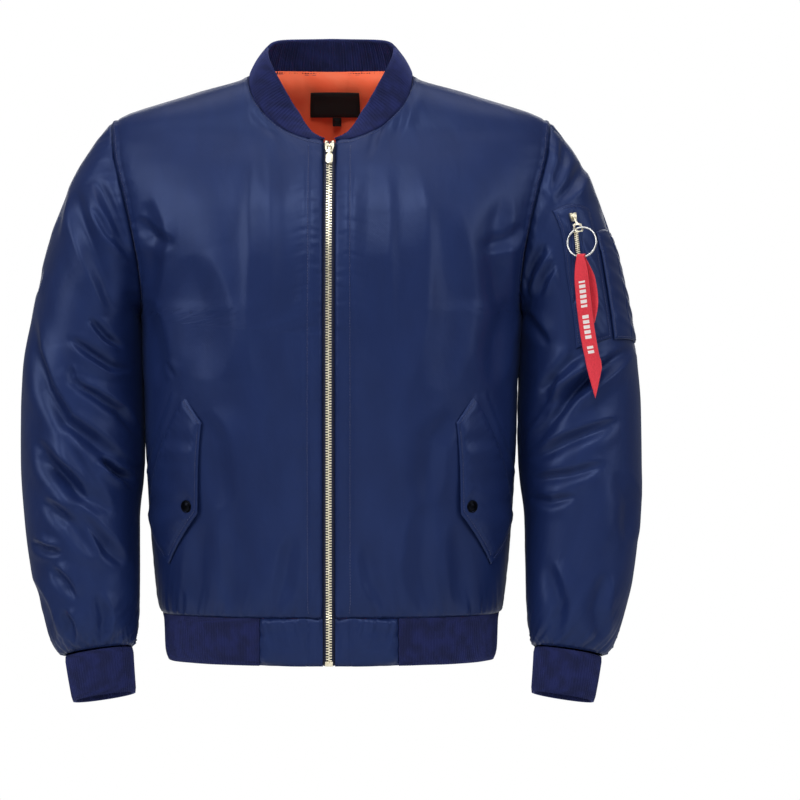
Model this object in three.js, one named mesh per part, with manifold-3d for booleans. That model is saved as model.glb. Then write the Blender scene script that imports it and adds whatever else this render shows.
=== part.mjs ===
// A padded bomber jacket, zipped up and filled out as it is when worn, with nobody in it.
// Millimetres, +Z up. The front faces -Y, so the wearer's left arm is on +X.
// The origin is the middle of the neck opening at shoulder height, where the wearer carries it.
import * as THREE from "three";
import { mergeVertices } from "three/addons/utils/BufferGeometryUtils.js";
import Module from "manifold-3d";

const wasm = await Module();
wasm.setup();

// Cloth and seams
const seamGap = 0.4; // two pieces sewn together
const shellThick = 2.6; // nylon with its padding
const ribThick = 3; // knitted rib, folded double
const liningGap = 2; // behind the shell's inside face
const quiltLine = 1.2; // lining at a quilting line
const quiltCrown = 5.2; // lining at the middle of a diamond
const facingThick = 1.6;
const patchLift = 0.6; // a patch above the cloth that it is sewn to
const patchThick = 1.6;

// Body
const neckHalf = 92; // half the neck opening's width
const neckDrop = 79; // front neck below the shoulder points
const neckRise = 8; // back neck above them
const tipZ = -53; // shoulder tip
const armpitZ = -268;
const hemZ = -601; // where the body meets its hem band
const bandZ = -653; // lower edge of the hem band
const yokeCentreZ = -140; // centre front end of the last level row
const panelColumns = 12; // from the centre line to the side seam: a quilting diamond is two wide
const panelRows = 10; // from hem to armpit: a diamond is two tall
const neckColumns = 5; // of those columns, how many end on the neck seam
const facingColumns = 2;
const armholeRows = 10; // from armpit to shoulder tip, and also half the steps round a sleeve
const yokeRow = 7; // the row of the armhole above which the shoulder's rows begin
const zipHalf = 6.6; // front edge to centre line
const tabEnd = 76; // cloth tab of the hem band, from the centre line

// Body sections: half width, depth in front of and behind the side seams, and squareness.
const bodySections = [
  { z: 14, half: 90.5, front: 48, back: 64, square: 2 },
  { z: 0, half: 92, front: 60, back: 73, square: 2 },
  { z: -20, half: 151, front: 71, back: 88, square: 2.05 },
  { z: -53, half: 245, front: 83, back: 107, square: 2.15 },
  { z: -64, half: 258, front: 86, back: 112, square: 2.2 },
  { z: -85, half: 270, front: 98, back: 121, square: 2.25 },
  { z: -110, half: 268, front: 114, back: 129, square: 2.3 },
  { z: -160, half: 249, front: 138, back: 142, square: 2.4 },
  { z: -214, half: 226, front: 151, back: 148, square: 2.4 },
  { z: -254, half: 213.5, front: 154, back: 148, square: 2.45 },
  { z: -268, half: 211, front: 154.5, back: 147.5, square: 2.5 },
  { z: -308, half: 208, front: 155, back: 146, square: 2.5 },
  { z: -400, half: 206, front: 152, back: 139, square: 2.5 },
  { z: -480, half: 202, front: 147, back: 133, square: 2.4 },
  { z: -545, half: 197, front: 141, back: 127, square: 2.35 },
  { z: -588, half: 192, front: 136, back: 123, square: 2.3 },
  { z: -601, half: 189, front: 133, back: 121, square: 2.3 },
  { z: -606, half: 187, front: 131, back: 119, square: 2.3 },
  { z: -640, half: 185.5, front: 129.5, back: 117.5, square: 2.3 },
  { z: -653, half: 182.5, front: 127.5, back: 115.5, square: 2.3 },
];

// How far out the armhole seam lies at each height.
const armholeSeam = [
  { z: -53, x: 245 },
  { z: -90, x: 240 },
  { z: -130, x: 230 },
  { z: -170, x: 220.5 },
  { z: -210, x: 213 },
  { z: -250, x: 209.5 },
  { z: -268, x: 211 },
];

// Sleeve rings: outer and inner edge as seen from the front, depth front to back,
// and how far forward and how steeply the arm leans.
const sleeveRings = [
  { t: 0, outerX: 245.5, outerZ: -53, innerX: 211.6, innerZ: -268, depth: 77, y: 0, lean: 0 },
  { t: 0.04, outerX: 264, outerZ: -79, innerX: 212, innerZ: -270, depth: 79, y: 0, lean: 0 },
  { t: 0.1, outerX: 285, outerZ: -113, innerX: 212, innerZ: -274, depth: 81, y: 0, lean: 0 },
  { t: 0.17, outerX: 303, outerZ: -156, innerX: 211.9, innerZ: -281, depth: 82, y: 0, lean: 0 },
  { t: 0.25, outerX: 319, outerZ: -208, innerX: 211.6, innerZ: -292, depth: 82, y: 0, lean: 1 },
  { t: 0.34, outerX: 331, outerZ: -262, innerX: 211.3, innerZ: -312, depth: 81, y: -1, lean: 3 },
  { t: 0.44, outerX: 340, outerZ: -318, innerX: 210.8, innerZ: -344, depth: 79, y: -4, lean: 5 },
  { t: 0.54, outerX: 344.5, outerZ: -375, innerX: 210.2, innerZ: -386, depth: 76, y: -8, lean: 7 },
  { t: 0.64, outerX: 345, outerZ: -432, innerX: 210.6, innerZ: -432, depth: 73, y: -14, lean: 8 },
  { t: 0.77, outerX: 341.5, outerZ: -500, innerX: 217, innerZ: -496, depth: 66, y: -24, lean: 9 },
  { t: 0.88, outerX: 334, outerZ: -562, innerX: 218, innerZ: -554, depth: 59, y: -33, lean: 9 },
  { t: 0.95, outerX: 321, outerZ: -610, innerX: 219.5, innerZ: -598, depth: 52, y: -40, lean: 9 },
  { t: 0.985, outerX: 312, outerZ: -636, innerX: 222, innerZ: -624, depth: 45, y: -43, lean: 9 },
  { t: 1, outerX: 303, outerZ: -648.5, innerX: 224, innerZ: -637, depth: 40, y: -44, lean: 9 },
];
const cuffRings = [
  { t: 0, outerX: 301, outerZ: -649.4, innerX: 225, innerZ: -638, depth: 38.5, y: -44.2, lean: 9 },
  { t: 0.5, outerX: 297, outerZ: -673, innerX: 223.6, innerZ: -661, depth: 37, y: -48, lean: 9 },
  { t: 1, outerX: 292, outerZ: -698, innerX: 221.6, innerZ: -687, depth: 35.5, y: -52, lean: 9 },
];
// The wearer's right forearm hangs a little closer to the body.
const rightForearmShift = 7;

// Largest sleeve folds, as soft troughs from one place on the sleeve to another:
// t along it, and degrees round it from the outer edge over the front.
const sleeveFolds = {
  right: [
    { fromT: 0.12, fromAngle: 40, toT: 0.3, toAngle: 150, width: 24, depth: 5 },
    { fromT: 0.26, fromAngle: 20, toT: 0.44, toAngle: 140, width: 24, depth: 5 },
    { fromT: 0.46, fromAngle: 30, toT: 0.62, toAngle: 160, width: 26, depth: 6 },
    { fromT: 0.6, fromAngle: 10, toT: 0.78, toAngle: 130, width: 24, depth: 5 },
    { fromT: 0.3, fromAngle: 330, toT: 0.46, toAngle: 220, width: 26, depth: 5 },
    { fromT: 0.56, fromAngle: 340, toT: 0.72, toAngle: 230, width: 24, depth: 5 },
  ],
  left: [
    { fromT: 0.03, fromAngle: 60, toT: 0.16, toAngle: 165, width: 22, depth: 5 },
    { fromT: 0.5, fromAngle: 40, toT: 0.64, toAngle: 165, width: 26, depth: 6 },
    { fromT: 0.6, fromAngle: 30, toT: 0.72, toAngle: 150, width: 24, depth: 4 },
    { fromT: 0.3, fromAngle: 330, toT: 0.46, toAngle: 215, width: 26, depth: 5 },
    { fromT: 0.56, fromAngle: 345, toT: 0.7, toAngle: 225, width: 24, depth: 5 },
  ],
};

// Collar, by the angle round the neck from the centre front: width of the rib and inward lean.
const collarSections = [
  { angle: 4, width: 3, lean: 60 },
  { angle: 12, width: 14, lean: 60 },
  { angle: 21, width: 24, lean: 56 },
  { angle: 35, width: 33, lean: 44 },
  { angle: 50, width: 35, lean: 30 },
  { angle: 69, width: 36, lean: 27 },
  { angle: 90, width: 38, lean: 32 },
  { angle: 135, width: 41, lean: 28 },
  { angle: 180, width: 41, lean: 18 },
];

const collarGap = 0.7; // the neck seam's, where it turns sharply at the shoulders
const collarBow = 2; // the rib's rounding between its edges

// Hip pocket flap, by distance round the body from the side seam and by height.
const flapCorners = {
  sewnTop: { around: 132, z: -358 },
  sewnFoot: { around: 24, z: -497 },
  freeTop: { around: 155, z: -388 },
  freeMiddle: { around: 139.5, z: -487 },
  freeFoot: { around: 84, z: -544 },
};
const flapThick = 2.4;
const flapLift = 4; // how far the free edge stands off the body
const flapSnap = { along: 0.52, across: 0.83, radius: 7 };

// Sleeve pocket and pen slots, by place on the wearer's left sleeve: t and degrees at the
// outer and inner edge of each patch, from its top down.
const sleevePocket = [
  { down: 0, outerT: 0.137, outer: 43, innerT: 0.05, inner: 77 },
  { down: 0.5, outerT: 0.257, outer: 53.5, innerT: 0.21, inner: 91 },
  { down: 1, outerT: 0.395, outer: 57, innerT: 0.4, inner: 93 },
];
const penPocket = [
  { down: 0, outerT: 0.206, outer: 2, innerT: 0.18, inner: 44.8 },
  { down: 0.5, outerT: 0.3, outer: 2, innerT: 0.285, inner: 52 },
  { down: 1, outerT: 0.41, outer: 4, innerT: 0.4, inner: 55 },
];
const sleeveZip = { fromT: 0.11, fromAngle: 67, toT: 0.25, toAngle: 84 };

// Metal parts
const chainHalf = 3.4;
const chainDepth = 2.2;
const sliderWidth = 10;
const sliderLength = 12;
const pullLength = 22;
const pullThick = 1.4;
const barRadius = 0.8; // slider's cross bar, on which the pull swings
const barLift = 2.6; // bar above the slider's face
const sleeveZipScale = 0.8; // the sleeve pocket's zip parts, against the main zip's
const smallPullLength = 20;
const ringHole = 3.9; // hole for the ring in that pull's foot
const holeRim = 1.3;
const ringRadius = 16.5; // split ring, to the middle of its wire
const wireRadius = 0.9;
const ribbonThick = 1;
const ribbonSlant = 17;

const navy = "#1b2b63";
const ribNavy = "#1a2264";
const darkNavy = "#141b3a";
const orange = "#f4502a";
const red = "#c9182b";
const steel = "#b9b6ab";
const black = "#0d0d12";

const degrees = Math.PI / 180;
const smallPullTilt = 15 * degrees; // the ring holds that pull off the sleeve
const ringTurn = 42 * degrees; // ring against the pull's face
const ringLean = 0.13; // ring's foot out from its top, against its length
const ringSwing = 18 * degrees; // ring to the side of the pull's hole
const mix = (a, b, t) => a + (b - a) * t;
const clamp = (v, low, high) => Math.min(high, Math.max(low, v));
const vector = (x, y, z) => new THREE.Vector3(x, y, z);
const counted = (n, make) => Array.from({ length: n }, (_, i) => make(i));
const steps = (n) => counted(n + 1, (i) => i / n);

function fade(t) {
  const share = clamp(t, 0, 1);
  return share * share * (3 - 2 * share);
}

// A smooth curve through one column of a table against another, with no overshoot.
function curveOf(rows, at, value) {
  const sorted = [...rows].sort((a, b) => a[at] - b[at]);
  const xs = sorted.map((row) => row[at]);
  const ys = sorted.map((row) => row[value]);
  const rise = counted(xs.length - 1, (i) => (ys[i + 1] - ys[i]) / (xs[i + 1] - xs[i]));
  const slopes = xs.map((_, i) => {
    const before = rise[Math.max(i - 1, 0)];
    const after = rise[Math.min(i, rise.length - 1)];
    return before * after <= 0 ? 0 : (2 * before * after) / (before + after);
  });
  return (x) => {
    const at0 = clamp(x, xs[0], xs[xs.length - 1]);
    let i = 0;
    while (i < xs.length - 2 && xs[i + 1] < at0) i += 1;
    const span = xs[i + 1] - xs[i];
    const u = (at0 - xs[i]) / span;
    const [u2, u3] = [u * u, u * u * u];
    return (
      (2 * u3 - 3 * u2 + 1) * ys[i] +
      (u3 - 2 * u2 + u) * span * slopes[i] +
      (3 * u2 - 2 * u3) * ys[i + 1] +
      (u3 - u2) * span * slopes[i + 1]
    );
  };
}

const bodyHalf = curveOf(bodySections, "z", "half");
const bodyFront = curveOf(bodySections, "z", "front");
const bodyBack = curveOf(bodySections, "z", "back");
const bodySquare = curveOf(bodySections, "z", "square");
const armholeX = curveOf(armholeSeam, "z", "x");
const collarWidth = curveOf(collarSections, "angle", "width");
const collarLean = curveOf(collarSections, "angle", "lean");

const bodyDepth = (z, side) => (side < 0 ? bodyFront(z) : bodyBack(z));

// The body's surface at one place across and up: side is -1 in front and 1 behind.
function bodyAt(x, z, side) {
  const square = bodySquare(z);
  const share = clamp(Math.abs(x) / bodyHalf(z), 0, 1);
  return vector(x, side * bodyDepth(z, side) * (1 - share ** square) ** (1 / square), z);
}

function bodyLevel(p, side) {
  const square = bodySquare(p.z);
  return (Math.abs(p.x) / bodyHalf(p.z)) ** square + (Math.abs(p.y) / bodyDepth(p.z, side)) ** square;
}

function bodyNormal(p, side) {
  const nudge = 0.05;
  const change = (step) =>
    bodyLevel(p.clone().add(step), side) - bodyLevel(p.clone().sub(step), side);
  const flatY = Math.abs(p.y) < 0.5;
  return vector(
    change(vector(nudge, 0, 0)),
    flatY ? 0 : change(vector(0, nudge, 0)),
    change(vector(0, 0, nudge)),
  ).normalize();
}

// Half of a level section, from startX to endX across the body.
function sectionCurve(z, side, startX, endX) {
  const [half, depth, power] = [bodyHalf(z), bodyDepth(z, side), 2 / bodySquare(z)];
  const angleOf = (x) => Math.acos(clamp(x / half, 0, 1) ** (1 / power));
  const [first, last] = [angleOf(startX), angleOf(endX)];
  return steps(48).map((share) => {
    const angle = mix(first, last, share);
    const across = Math.max(Math.cos(angle), 0) ** power;
    return vector(half * across, side * depth * Math.max(Math.sin(angle), 0) ** power, z);
  });
}

function lengthsOf(curve) {
  const lengths = [0];
  for (let i = 1; i < curve.length; i += 1) {
    lengths.push(lengths[i - 1] + curve[i].distanceTo(curve[i - 1]));
  }
  return lengths;
}

function pointAlong(curve, distance) {
  const lengths = lengthsOf(curve);
  let i = 0;
  while (i < curve.length - 2 && lengths[i + 1] < distance) i += 1;
  const share = (distance - lengths[i]) / (lengths[i + 1] - lengths[i]);
  return curve[i].clone().lerp(curve[i + 1], clamp(share, 0, 1));
}

function pointAtShare(curve, share) {
  return pointAlong(curve, share * lengthsOf(curve).at(-1));
}

// Height on the armhole, by the share of the way round from armpit to shoulder tip.
const armholeZ = (share) => mix(armpitZ, tipZ, (1 - Math.cos(Math.PI * share)) / 2);
const yokeZ = armholeZ(yokeRow / armholeRows);

const sideX = (z) => (z <= armpitZ ? bodyHalf(z) : armholeX(z));

// Which way the armhole's rim faces, in the armhole's own plane.
function armholeOutward(z, side) {
  const step = 0.5;
  const low = bodyAt(armholeX(z - step), z - step, side);
  const high = bodyAt(armholeX(z + step), z + step, side);
  if (z > tipZ - step) return vector(0, 0, 1);
  if (z < armpitZ + step) return vector(0, 0, -1);
  const along = high.sub(low);
  const outward = vector(0, along.z, -along.y);
  return outward.multiplyScalar(side * Math.sign(outward.y || 1)).normalize();
}

// The neck seam at an angle round from the centre front, on the wearer's left.
function neckPoint(angle) {
  const across = Math.sin(angle * degrees);
  const inFront = angle < 90;
  const z = inFront ? -neckDrop * Math.cos(angle * degrees) : neckRise * (1 - across ** 6);
  return bodyAt(neckHalf * across, z, inFront ? -1 : 1);
}

// The neck seam's point, the way the collar stands up from it, and the facing of the seam's rim.
function neckFrame(angle) {
  const point = neckPoint(angle);
  const along = neckPoint(Math.min(angle + 0.5, 180)).sub(neckPoint(angle - 0.5)).normalize();
  if (angle >= 179) along.set(-1, 0, 0);
  const inward = vector(-point.x, -point.y, 0).normalize();
  const lean = collarLean(angle) * degrees;
  const stand = inward.multiplyScalar(Math.sin(lean)).add(vector(0, 0, Math.cos(lean)));
  stand.addScaledVector(along, -stand.dot(along)).normalize();
  const face = stand.clone().cross(along).normalize();
  if (face.dot(vector(point.x, point.y, 0)) < 0) face.negate();
  const rim = bodyNormal(point, angle < 90 ? -1 : 1).add(face).normalize();
  return { point, stand, face, rim };
}

// The height of the shoulder seam above a place across the body.
function shoulderZ(x) {
  let [low, high] = [tipZ, 0];
  for (let i = 0; i < 30; i += 1) {
    const middle = (low + high) / 2;
    if (bodyHalf(middle) > x) low = middle;
    else high = middle;
  }
  return (low + high) / 2;
}

// The grid that shell and lining share, on the wearer's left: rows of points from hem to
// shoulder, each from the centre line to the side seam.
function bodyPanel(side, startX) {
  const shares = steps(panelColumns);
  const heights = [
    ...steps(panelRows).map((t) => mix(hemZ, armpitZ, t)),
    ...counted(yokeRow, (i) => armholeZ((i + 1) / armholeRows)),
  ];
  const centreRise = (share) => (mix(yokeCentreZ, yokeZ, share) - hemZ) / (yokeZ - hemZ);
  const rows = heights.map((height) =>
    shares.map((share) => {
      const z = hemZ + (height - hemZ) * centreRise(share);
      const p = pointAtShare(sectionCurve(z, side, startX, sideX(z)), share);
      const onArmhole = share === 1 && z > armpitZ;
      return { p, n: onArmhole ? armholeOutward(z, side) : bodyNormal(p, side) };
    }),
  );
  const base = rows.at(-1).map((node) => node.p);
  const neckStart = Math.asin(startX / neckHalf) / degrees;
  const tops = base.map((p, i) => {
    if (i <= neckColumns) {
      const angle = mix(neckStart, 90, i / neckColumns);
      const frame = neckFrame(side < 0 ? Math.min(angle, 89.9) : Math.max(180 - angle, 90.1));
      return { p: frame.point, n: frame.rim };
    }
    const share = (p.x - base[neckColumns].x) / (base.at(-1).x - base[neckColumns].x);
    const x = mix(neckHalf, armholeX(tipZ), share);
    const top = bodyAt(x, shoulderZ(x), side);
    top.y = 0;
    return { p: top, n: bodyNormal(top, side) };
  });
  for (let row = yokeRow + 1; row < armholeRows; row += 1) {
    const edgeZ = armholeZ(row / armholeRows);
    const rise = (edgeZ - yokeZ) / (tipZ - yokeZ);
    const run = (row - yokeRow) / (armholeRows - yokeRow);
    const next = base.map((p, i) => {
      const onArmhole = shares[i] === 1;
      const z = onArmhole ? edgeZ : mix(p.z, tops[i].p.z, rise);
      const x = onArmhole ? armholeX(z) : mix(p.x, tops[i].p.x, run);
      const q = bodyAt(x, z, side);
      return { p: q, n: onArmhole ? armholeOutward(z, side) : bodyNormal(q, side) };
    });
    rows.push(next);
  }
  rows.push(tops);
  for (const row of rows) {
    const edge = row.at(-1);
    if (edge.p.z > armpitZ - 1) edge.p.x -= seamGap / 2;
    for (const node of row) {
      if (Math.abs(node.p.y) < seamGap / 2) node.p.y = (side * seamGap) / 2;
    }
  }
  return rows;
}

const flipped = (v) => vector(-v.x, v.y, v.z);
const mirroredRow = (row) => row.map(({ p, n }) => ({ p: flipped(p), n: flipped(n) })).reverse();
const mirroredRows = (rows) => rows.map(mirroredRow);

// Both halves of a panel joined at the centre back.
const wholeRows = (rows) => rows.map((row) => [...mirroredRow(row), ...row.slice(1)]);

// A closed geometry from points and triangles, with its faces turned outwards.
function closedGeometry(points, triangles) {
  const volume = triangles.reduce(
    (sum, [a, b, c]) => sum + points[a].dot(points[b].clone().cross(points[c])),
    0,
  );
  const turned = volume < 0 ? triangles.map(([a, b, c]) => [a, c, b]) : triangles;
  const geometry = new THREE.BufferGeometry();
  geometry.setFromPoints(points);
  geometry.setIndex(turned.flat());
  return geometry;
}

// A wall between two faces of the same rows. A wrapped wall closes round on itself.
function wall(outer, inner, wrapped = false) {
  const [rows, columns] = [outer.length, outer[0].length];
  const points = [...outer.flat(), ...inner.flat()];
  const at = (layer, j, i) => layer * rows * columns + j * columns + (i % columns);
  const across = wrapped ? columns : columns - 1;
  const triangles = [];
  const quad = (a, b, c, d, other) => {
    if (other) triangles.push([a, b, d], [b, c, d]);
    else triangles.push([a, b, c], [a, c, d]);
  };
  const rim = (a, b, c, d) => {
    const longer = points[a].distanceTo(points[c]) > points[b].distanceTo(points[d]);
    quad(a, b, c, d, longer);
  };
  for (let j = 0; j < rows - 1; j += 1) {
    for (let i = 0; i < across; i += 1) {
      const other = (i + j) % 2 === 1;
      quad(at(0, j, i), at(0, j, i + 1), at(0, j + 1, i + 1), at(0, j + 1, i), other);
      quad(at(1, j, i + 1), at(1, j, i), at(1, j + 1, i), at(1, j + 1, i + 1), !other);
    }
  }
  for (let i = 0; i < across; i += 1) {
    rim(at(1, 0, i), at(1, 0, i + 1), at(0, 0, i + 1), at(0, 0, i));
    rim(at(0, rows - 1, i), at(0, rows - 1, i + 1), at(1, rows - 1, i + 1), at(1, rows - 1, i));
  }
  for (let j = 0; j < rows - 1 && !wrapped; j += 1) {
    const last = columns - 1;
    rim(at(0, j, 0), at(0, j + 1, 0), at(1, j + 1, 0), at(1, j, 0));
    rim(at(0, j + 1, last), at(0, j, last), at(1, j, last), at(1, j + 1, last));
  }
  return closedGeometry(points, triangles);
}

// A wall that follows rows of points, from one depth behind them to another.
function layer(rows, outerDepth, innerDepth, wrapped = false) {
  const face = (depth) =>
    rows.map((row, j) =>
      row.map(({ p, n }, i) => {
        const away = typeof depth === "function" ? depth(i, j) : depth;
        return p.clone().addScaledVector(n, -away);
      }),
    );
  return wall(face(outerDepth), face(innerDepth), wrapped);
}

const group = new THREE.Group();
function add(name, geometry, color, roughness = 0.55, metalness = 0) {
  const mesh = new THREE.Mesh(
    geometry,
    new THREE.MeshStandardMaterial({ color, roughness, metalness }),
  );
  mesh.name = name;
  group.add(mesh);
  return mesh;
}

// Body shell
const frontRows = bodyPanel(-1, zipHalf);
const backHalf = bodyPanel(1, 0);
const backRows = wholeRows(backHalf);
add("front_left", layer(frontRows, 0, shellThick), navy);
add("front_right", layer(mirroredRows(frontRows), 0, shellThick), navy);
add("back", layer(backRows, 0, shellThick), navy);

// Quilted lining: its wall is thin at the quilting lines and crowned in the diamonds.
const liningDepth = shellThick + liningGap;
function quilted(rows) {
  const [lastRow, lastColumn] = [rows.length - 1, rows[0].length - 1];
  return layer(rows, liningDepth, (i, j) => {
    const onEdge = i === 0 || j === 0 || i === lastColumn || j === lastRow;
    return liningDepth + (onEdge || (i + j) % 2 === 0 ? quiltLine : quiltCrown);
  });
}
const liningFrontRows = frontRows.map((row) => row.slice(facingColumns));
add("lining_back", quilted(backRows), orange, 0.5);
add("lining_front_left", quilted(liningFrontRows), orange, 0.5);
add("lining_front_right", quilted(mirroredRows(liningFrontRows)), orange, 0.5);

// Facings along the zip, up to the lining
const facingRows = frontRows.map((row) => {
  const edge = row[facingColumns];
  const inwards = row[facingColumns - 1].p.clone().sub(edge.p).setLength(seamGap);
  return [...row.slice(0, facingColumns), { p: edge.p.clone().add(inwards), n: edge.n }];
});
add("facing_left", layer(facingRows, liningDepth, liningDepth + facingThick), darkNavy);
add("facing_right", layer(mirroredRows(facingRows), liningDepth, liningDepth + facingThick), darkNavy);

// Knitted collar, cuffs and hem band. The collar has the panels' points along the neck seam,
// and one more between each two of them.
const neckSeam = [
  ...frontRows.at(-1).slice(0, neckColumns + 1),
  ...backHalf.at(-1).slice(0, neckColumns).reverse(),
];
const neckStart = Math.asin(zipHalf / neckHalf) / degrees;
const neckAngles = [
  ...steps(neckColumns).map((t) => mix(neckStart, 90, t)),
  ...steps(neckColumns).slice(1).map((t) => mix(90, 180, t)),
];
const between = (list, mean) =>
  list.flatMap((item, i) => (i === 0 ? [item] : [mean(list[i - 1], item), item]));
const collarAngles = between(neckAngles, (a, b) => (a + b) / 2);
const collarSeam = between(neckSeam, (a, b) => ({
  p: a.p.clone().lerp(b.p, 0.5),
  n: a.n.clone().add(b.n).normalize(),
}));
const collarHalfRows = steps(3).map((rise) =>
  collarAngles.map((angle, i) => {
    const { point, stand, face } = neckFrame(angle);
    if (rise === 0) {
      const { p, n } = collarSeam[i];
      return { p: p.clone().setY(angle === 90 ? 0 : p.y).addScaledVector(stand, collarGap), n };
    }
    const p = point.addScaledVector(stand, collarGap + rise * collarWidth(angle));
    return { p: p.addScaledVector(face, collarBow * Math.sin(Math.PI * rise)), n: face };
  }),
);
const collarRows = collarHalfRows.map((row) => [...row, ...mirroredRow(row).slice(1)]);
add("collar", layer(collarRows, 0, ribThick), ribNavy, 0.9);

const bandHeights = [hemZ - seamGap, mix(hemZ, bandZ, 0.45), mix(hemZ, bandZ, 0.85), bandZ];
function bandRow(z, curve, count) {
  return steps(count).map((share) => {
    const p = pointAtShare(curve, share);
    return { p, n: bodyNormal(p, p.y < 0 ? -1 : 1).setZ(0).normalize() };
  });
}
const tabRows = bandHeights.map((z) =>
  bandRow(z, sectionCurve(z, -1, zipHalf, tabEnd - seamGap / 2), 3),
);
add("hem_tab_left", layer(tabRows, 0, ribThick), navy);
add("hem_tab_right", layer(mirroredRows(tabRows), 0, ribThick), navy);
const bandRows = bandHeights.map((z) => {
  const front = sectionCurve(z, -1, tabEnd + seamGap / 2, bodyHalf(z));
  const back = sectionCurve(z, 1, 0, bodyHalf(z)).reverse();
  const half = bandRow(z, [...front, ...back.slice(1)], 17);
  return [...half, ...mirroredRow(half).slice(1)];
});
add("hem_rib", layer(bandRows, 0, ribThick), ribNavy, 0.9);

// Sleeves. Angles run round a ring from its outer edge, over the front, to its inner edge.
const ringColumns = ["outerX", "outerZ", "innerX", "innerZ", "depth", "y", "lean"];
const curvesOf = (rings) =>
  Object.fromEntries(ringColumns.map((name) => [name, curveOf(rings, "t", name)]));
const sleeveCurves = curvesOf(sleeveRings);
const cuffCurves = curvesOf(cuffRings);
const sleeveSquare = 2.15;

function ringPoint(curves, t, angle) {
  const [turn, power] = [angle * degrees, 2 / sleeveSquare];
  const [c, s] = [Math.cos(turn), Math.sin(turn)];
  const round = (v) => Math.sign(v) * Math.abs(v) ** power;
  const outer = vector(curves.outerX(t), curves.y(t), curves.outerZ(t));
  const inner = vector(curves.innerX(t), curves.y(t), curves.innerZ(t));
  const middle = outer.clone().add(inner).multiplyScalar(0.5);
  const lean = curves.lean(t) * degrees;
  const forward = vector(0, -Math.cos(lean), Math.sin(lean));
  return middle
    .addScaledVector(outer.sub(inner), 0.5 * round(c))
    .addScaledVector(forward, curves.depth(t) * round(s));
}

function armholePoint(angle) {
  const z = armholeZ(Math.abs(180 - (angle % 360)) / 180);
  const side = Math.sin(angle * degrees) > 0 ? -1 : 1;
  const p = bodyAt(armholeX(z), z, side);
  if (Math.abs(Math.sin(angle * degrees)) < 1e-6) p.y = 0;
  p.x += seamGap / 2;
  return p;
}

// The sleeve before its folds: it starts on the armhole and soon takes its rings' shape.
function plainSleeve(t, angle) {
  const p = ringPoint(sleeveCurves, t, angle);
  const away = armholePoint(angle).sub(ringPoint(sleeveCurves, 0, angle));
  return p.addScaledVector(away, 1 - fade(t / 0.12));
}

function normalOn(surface, t, angle) {
  const [dt, da] = [0.004, 0.5];
  const along = surface(Math.min(t + dt, 1), angle).sub(surface(Math.max(t - dt, 0), angle));
  const round = surface(t, angle + da).sub(surface(t, angle - da));
  return along.cross(round).normalize().negate();
}

const sleeveLength = 520; // along its middle, for measuring folds
function foldDepth(folds, t, angle) {
  const round = (from, to) => ((((to - from + 180) % 360) + 360) % 360) - 180;
  const girth = mix(75, 45, t) * degrees; // millimetres for each degree round
  return folds.reduce((sum, fold) => {
    const length = (fold.toT - fold.fromT) * sleeveLength;
    const sweep = round(fold.fromAngle, fold.toAngle) * girth;
    const [along, across] = [
      (t - fold.fromT) * sleeveLength,
      round(fold.fromAngle, angle) * girth,
    ];
    const size = Math.hypot(length, sweep);
    const share = (along * length + across * sweep) / size ** 2;
    const off = Math.abs(along * sweep - across * length) / size;
    const ends = fade((share + 0.15) / 0.3) * fade((1.15 - share) / 0.3);
    return sum + fold.depth * ends * Math.exp(-((off / fold.width) ** 2));
  }, 0);
}

const sleeveSurface = (folds) => (t, angle) => {
  const calm = fade(t / 0.1) * fade((0.97 - t) / 0.08);
  const depth = foldDepth(folds, t, angle) * calm;
  return plainSleeve(t, angle).addScaledVector(normalOn(plainSleeve, t, angle), -depth);
};

const roundSteps = 2 * armholeRows;
const roundAngles = counted(roundSteps, (i) => (i * 360) / roundSteps);
const sleeveSteps = [
  ...[0, 0.03, 0.08, 0.14, 0.2, 0.27, 0.34, 0.41, 0.48, 0.55, 0.62, 0.69, 0.76, 0.83],
  ...[0.89, 0.94, 0.975, 1],
];

// The end ring's rim faces out square to the forearm.
function endFacing(curves, t, angle) {
  const middle = ringPoint(curves, t, 0).add(ringPoint(curves, t, 180)).multiplyScalar(0.5);
  return ringPoint(curves, t, angle).sub(middle).normalize();
}

function forearmShift(rows, curves, shift) {
  const top = curves.outerZ(0.5);
  for (const row of rows) {
    for (const { p } of row) p.x -= shift * fade((top - p.z) / (top + 690));
  }
  return rows;
}

function sleeveRows(surface) {
  return sleeveSteps.map((t) =>
    roundAngles.map((angle) => {
      const p = surface(t, angle);
      if (t === 0) {
        const side = angle > 0 && angle < 180 ? -1 : 1;
        return { p, n: armholeOutward(p.z, side) };
      }
      const n = t === 1 ? endFacing(sleeveCurves, 1, angle) : normalOn(surface, t, angle);
      return { p, n };
    }),
  );
}

const cuffRows = () =>
  steps(2).map((t) =>
    roundAngles.map((angle) => ({
      p: ringPoint(cuffCurves, t, angle),
      n: endFacing(cuffCurves, t, angle),
    })),
  );

const leftSurface = sleeveSurface(sleeveFolds.left);
const rightSurface = sleeveSurface(sleeveFolds.right);
const leftRows = sleeveRows(leftSurface);
const rightRows = forearmShift(sleeveRows(rightSurface), sleeveCurves, rightForearmShift);
add("sleeve_left", layer(leftRows, 0, shellThick, true), navy);
add("sleeve_right", layer(mirroredRows(rightRows), 0, shellThick, true), navy);
add("cuff_left", layer(cuffRows(), 0, ribThick, true), ribNavy, 0.9);
const rightCuffRows = forearmShift(cuffRows(), sleeveCurves, rightForearmShift);
add("cuff_right", layer(mirroredRows(rightCuffRows), 0, ribThick, true), ribNavy, 0.9);

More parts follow.
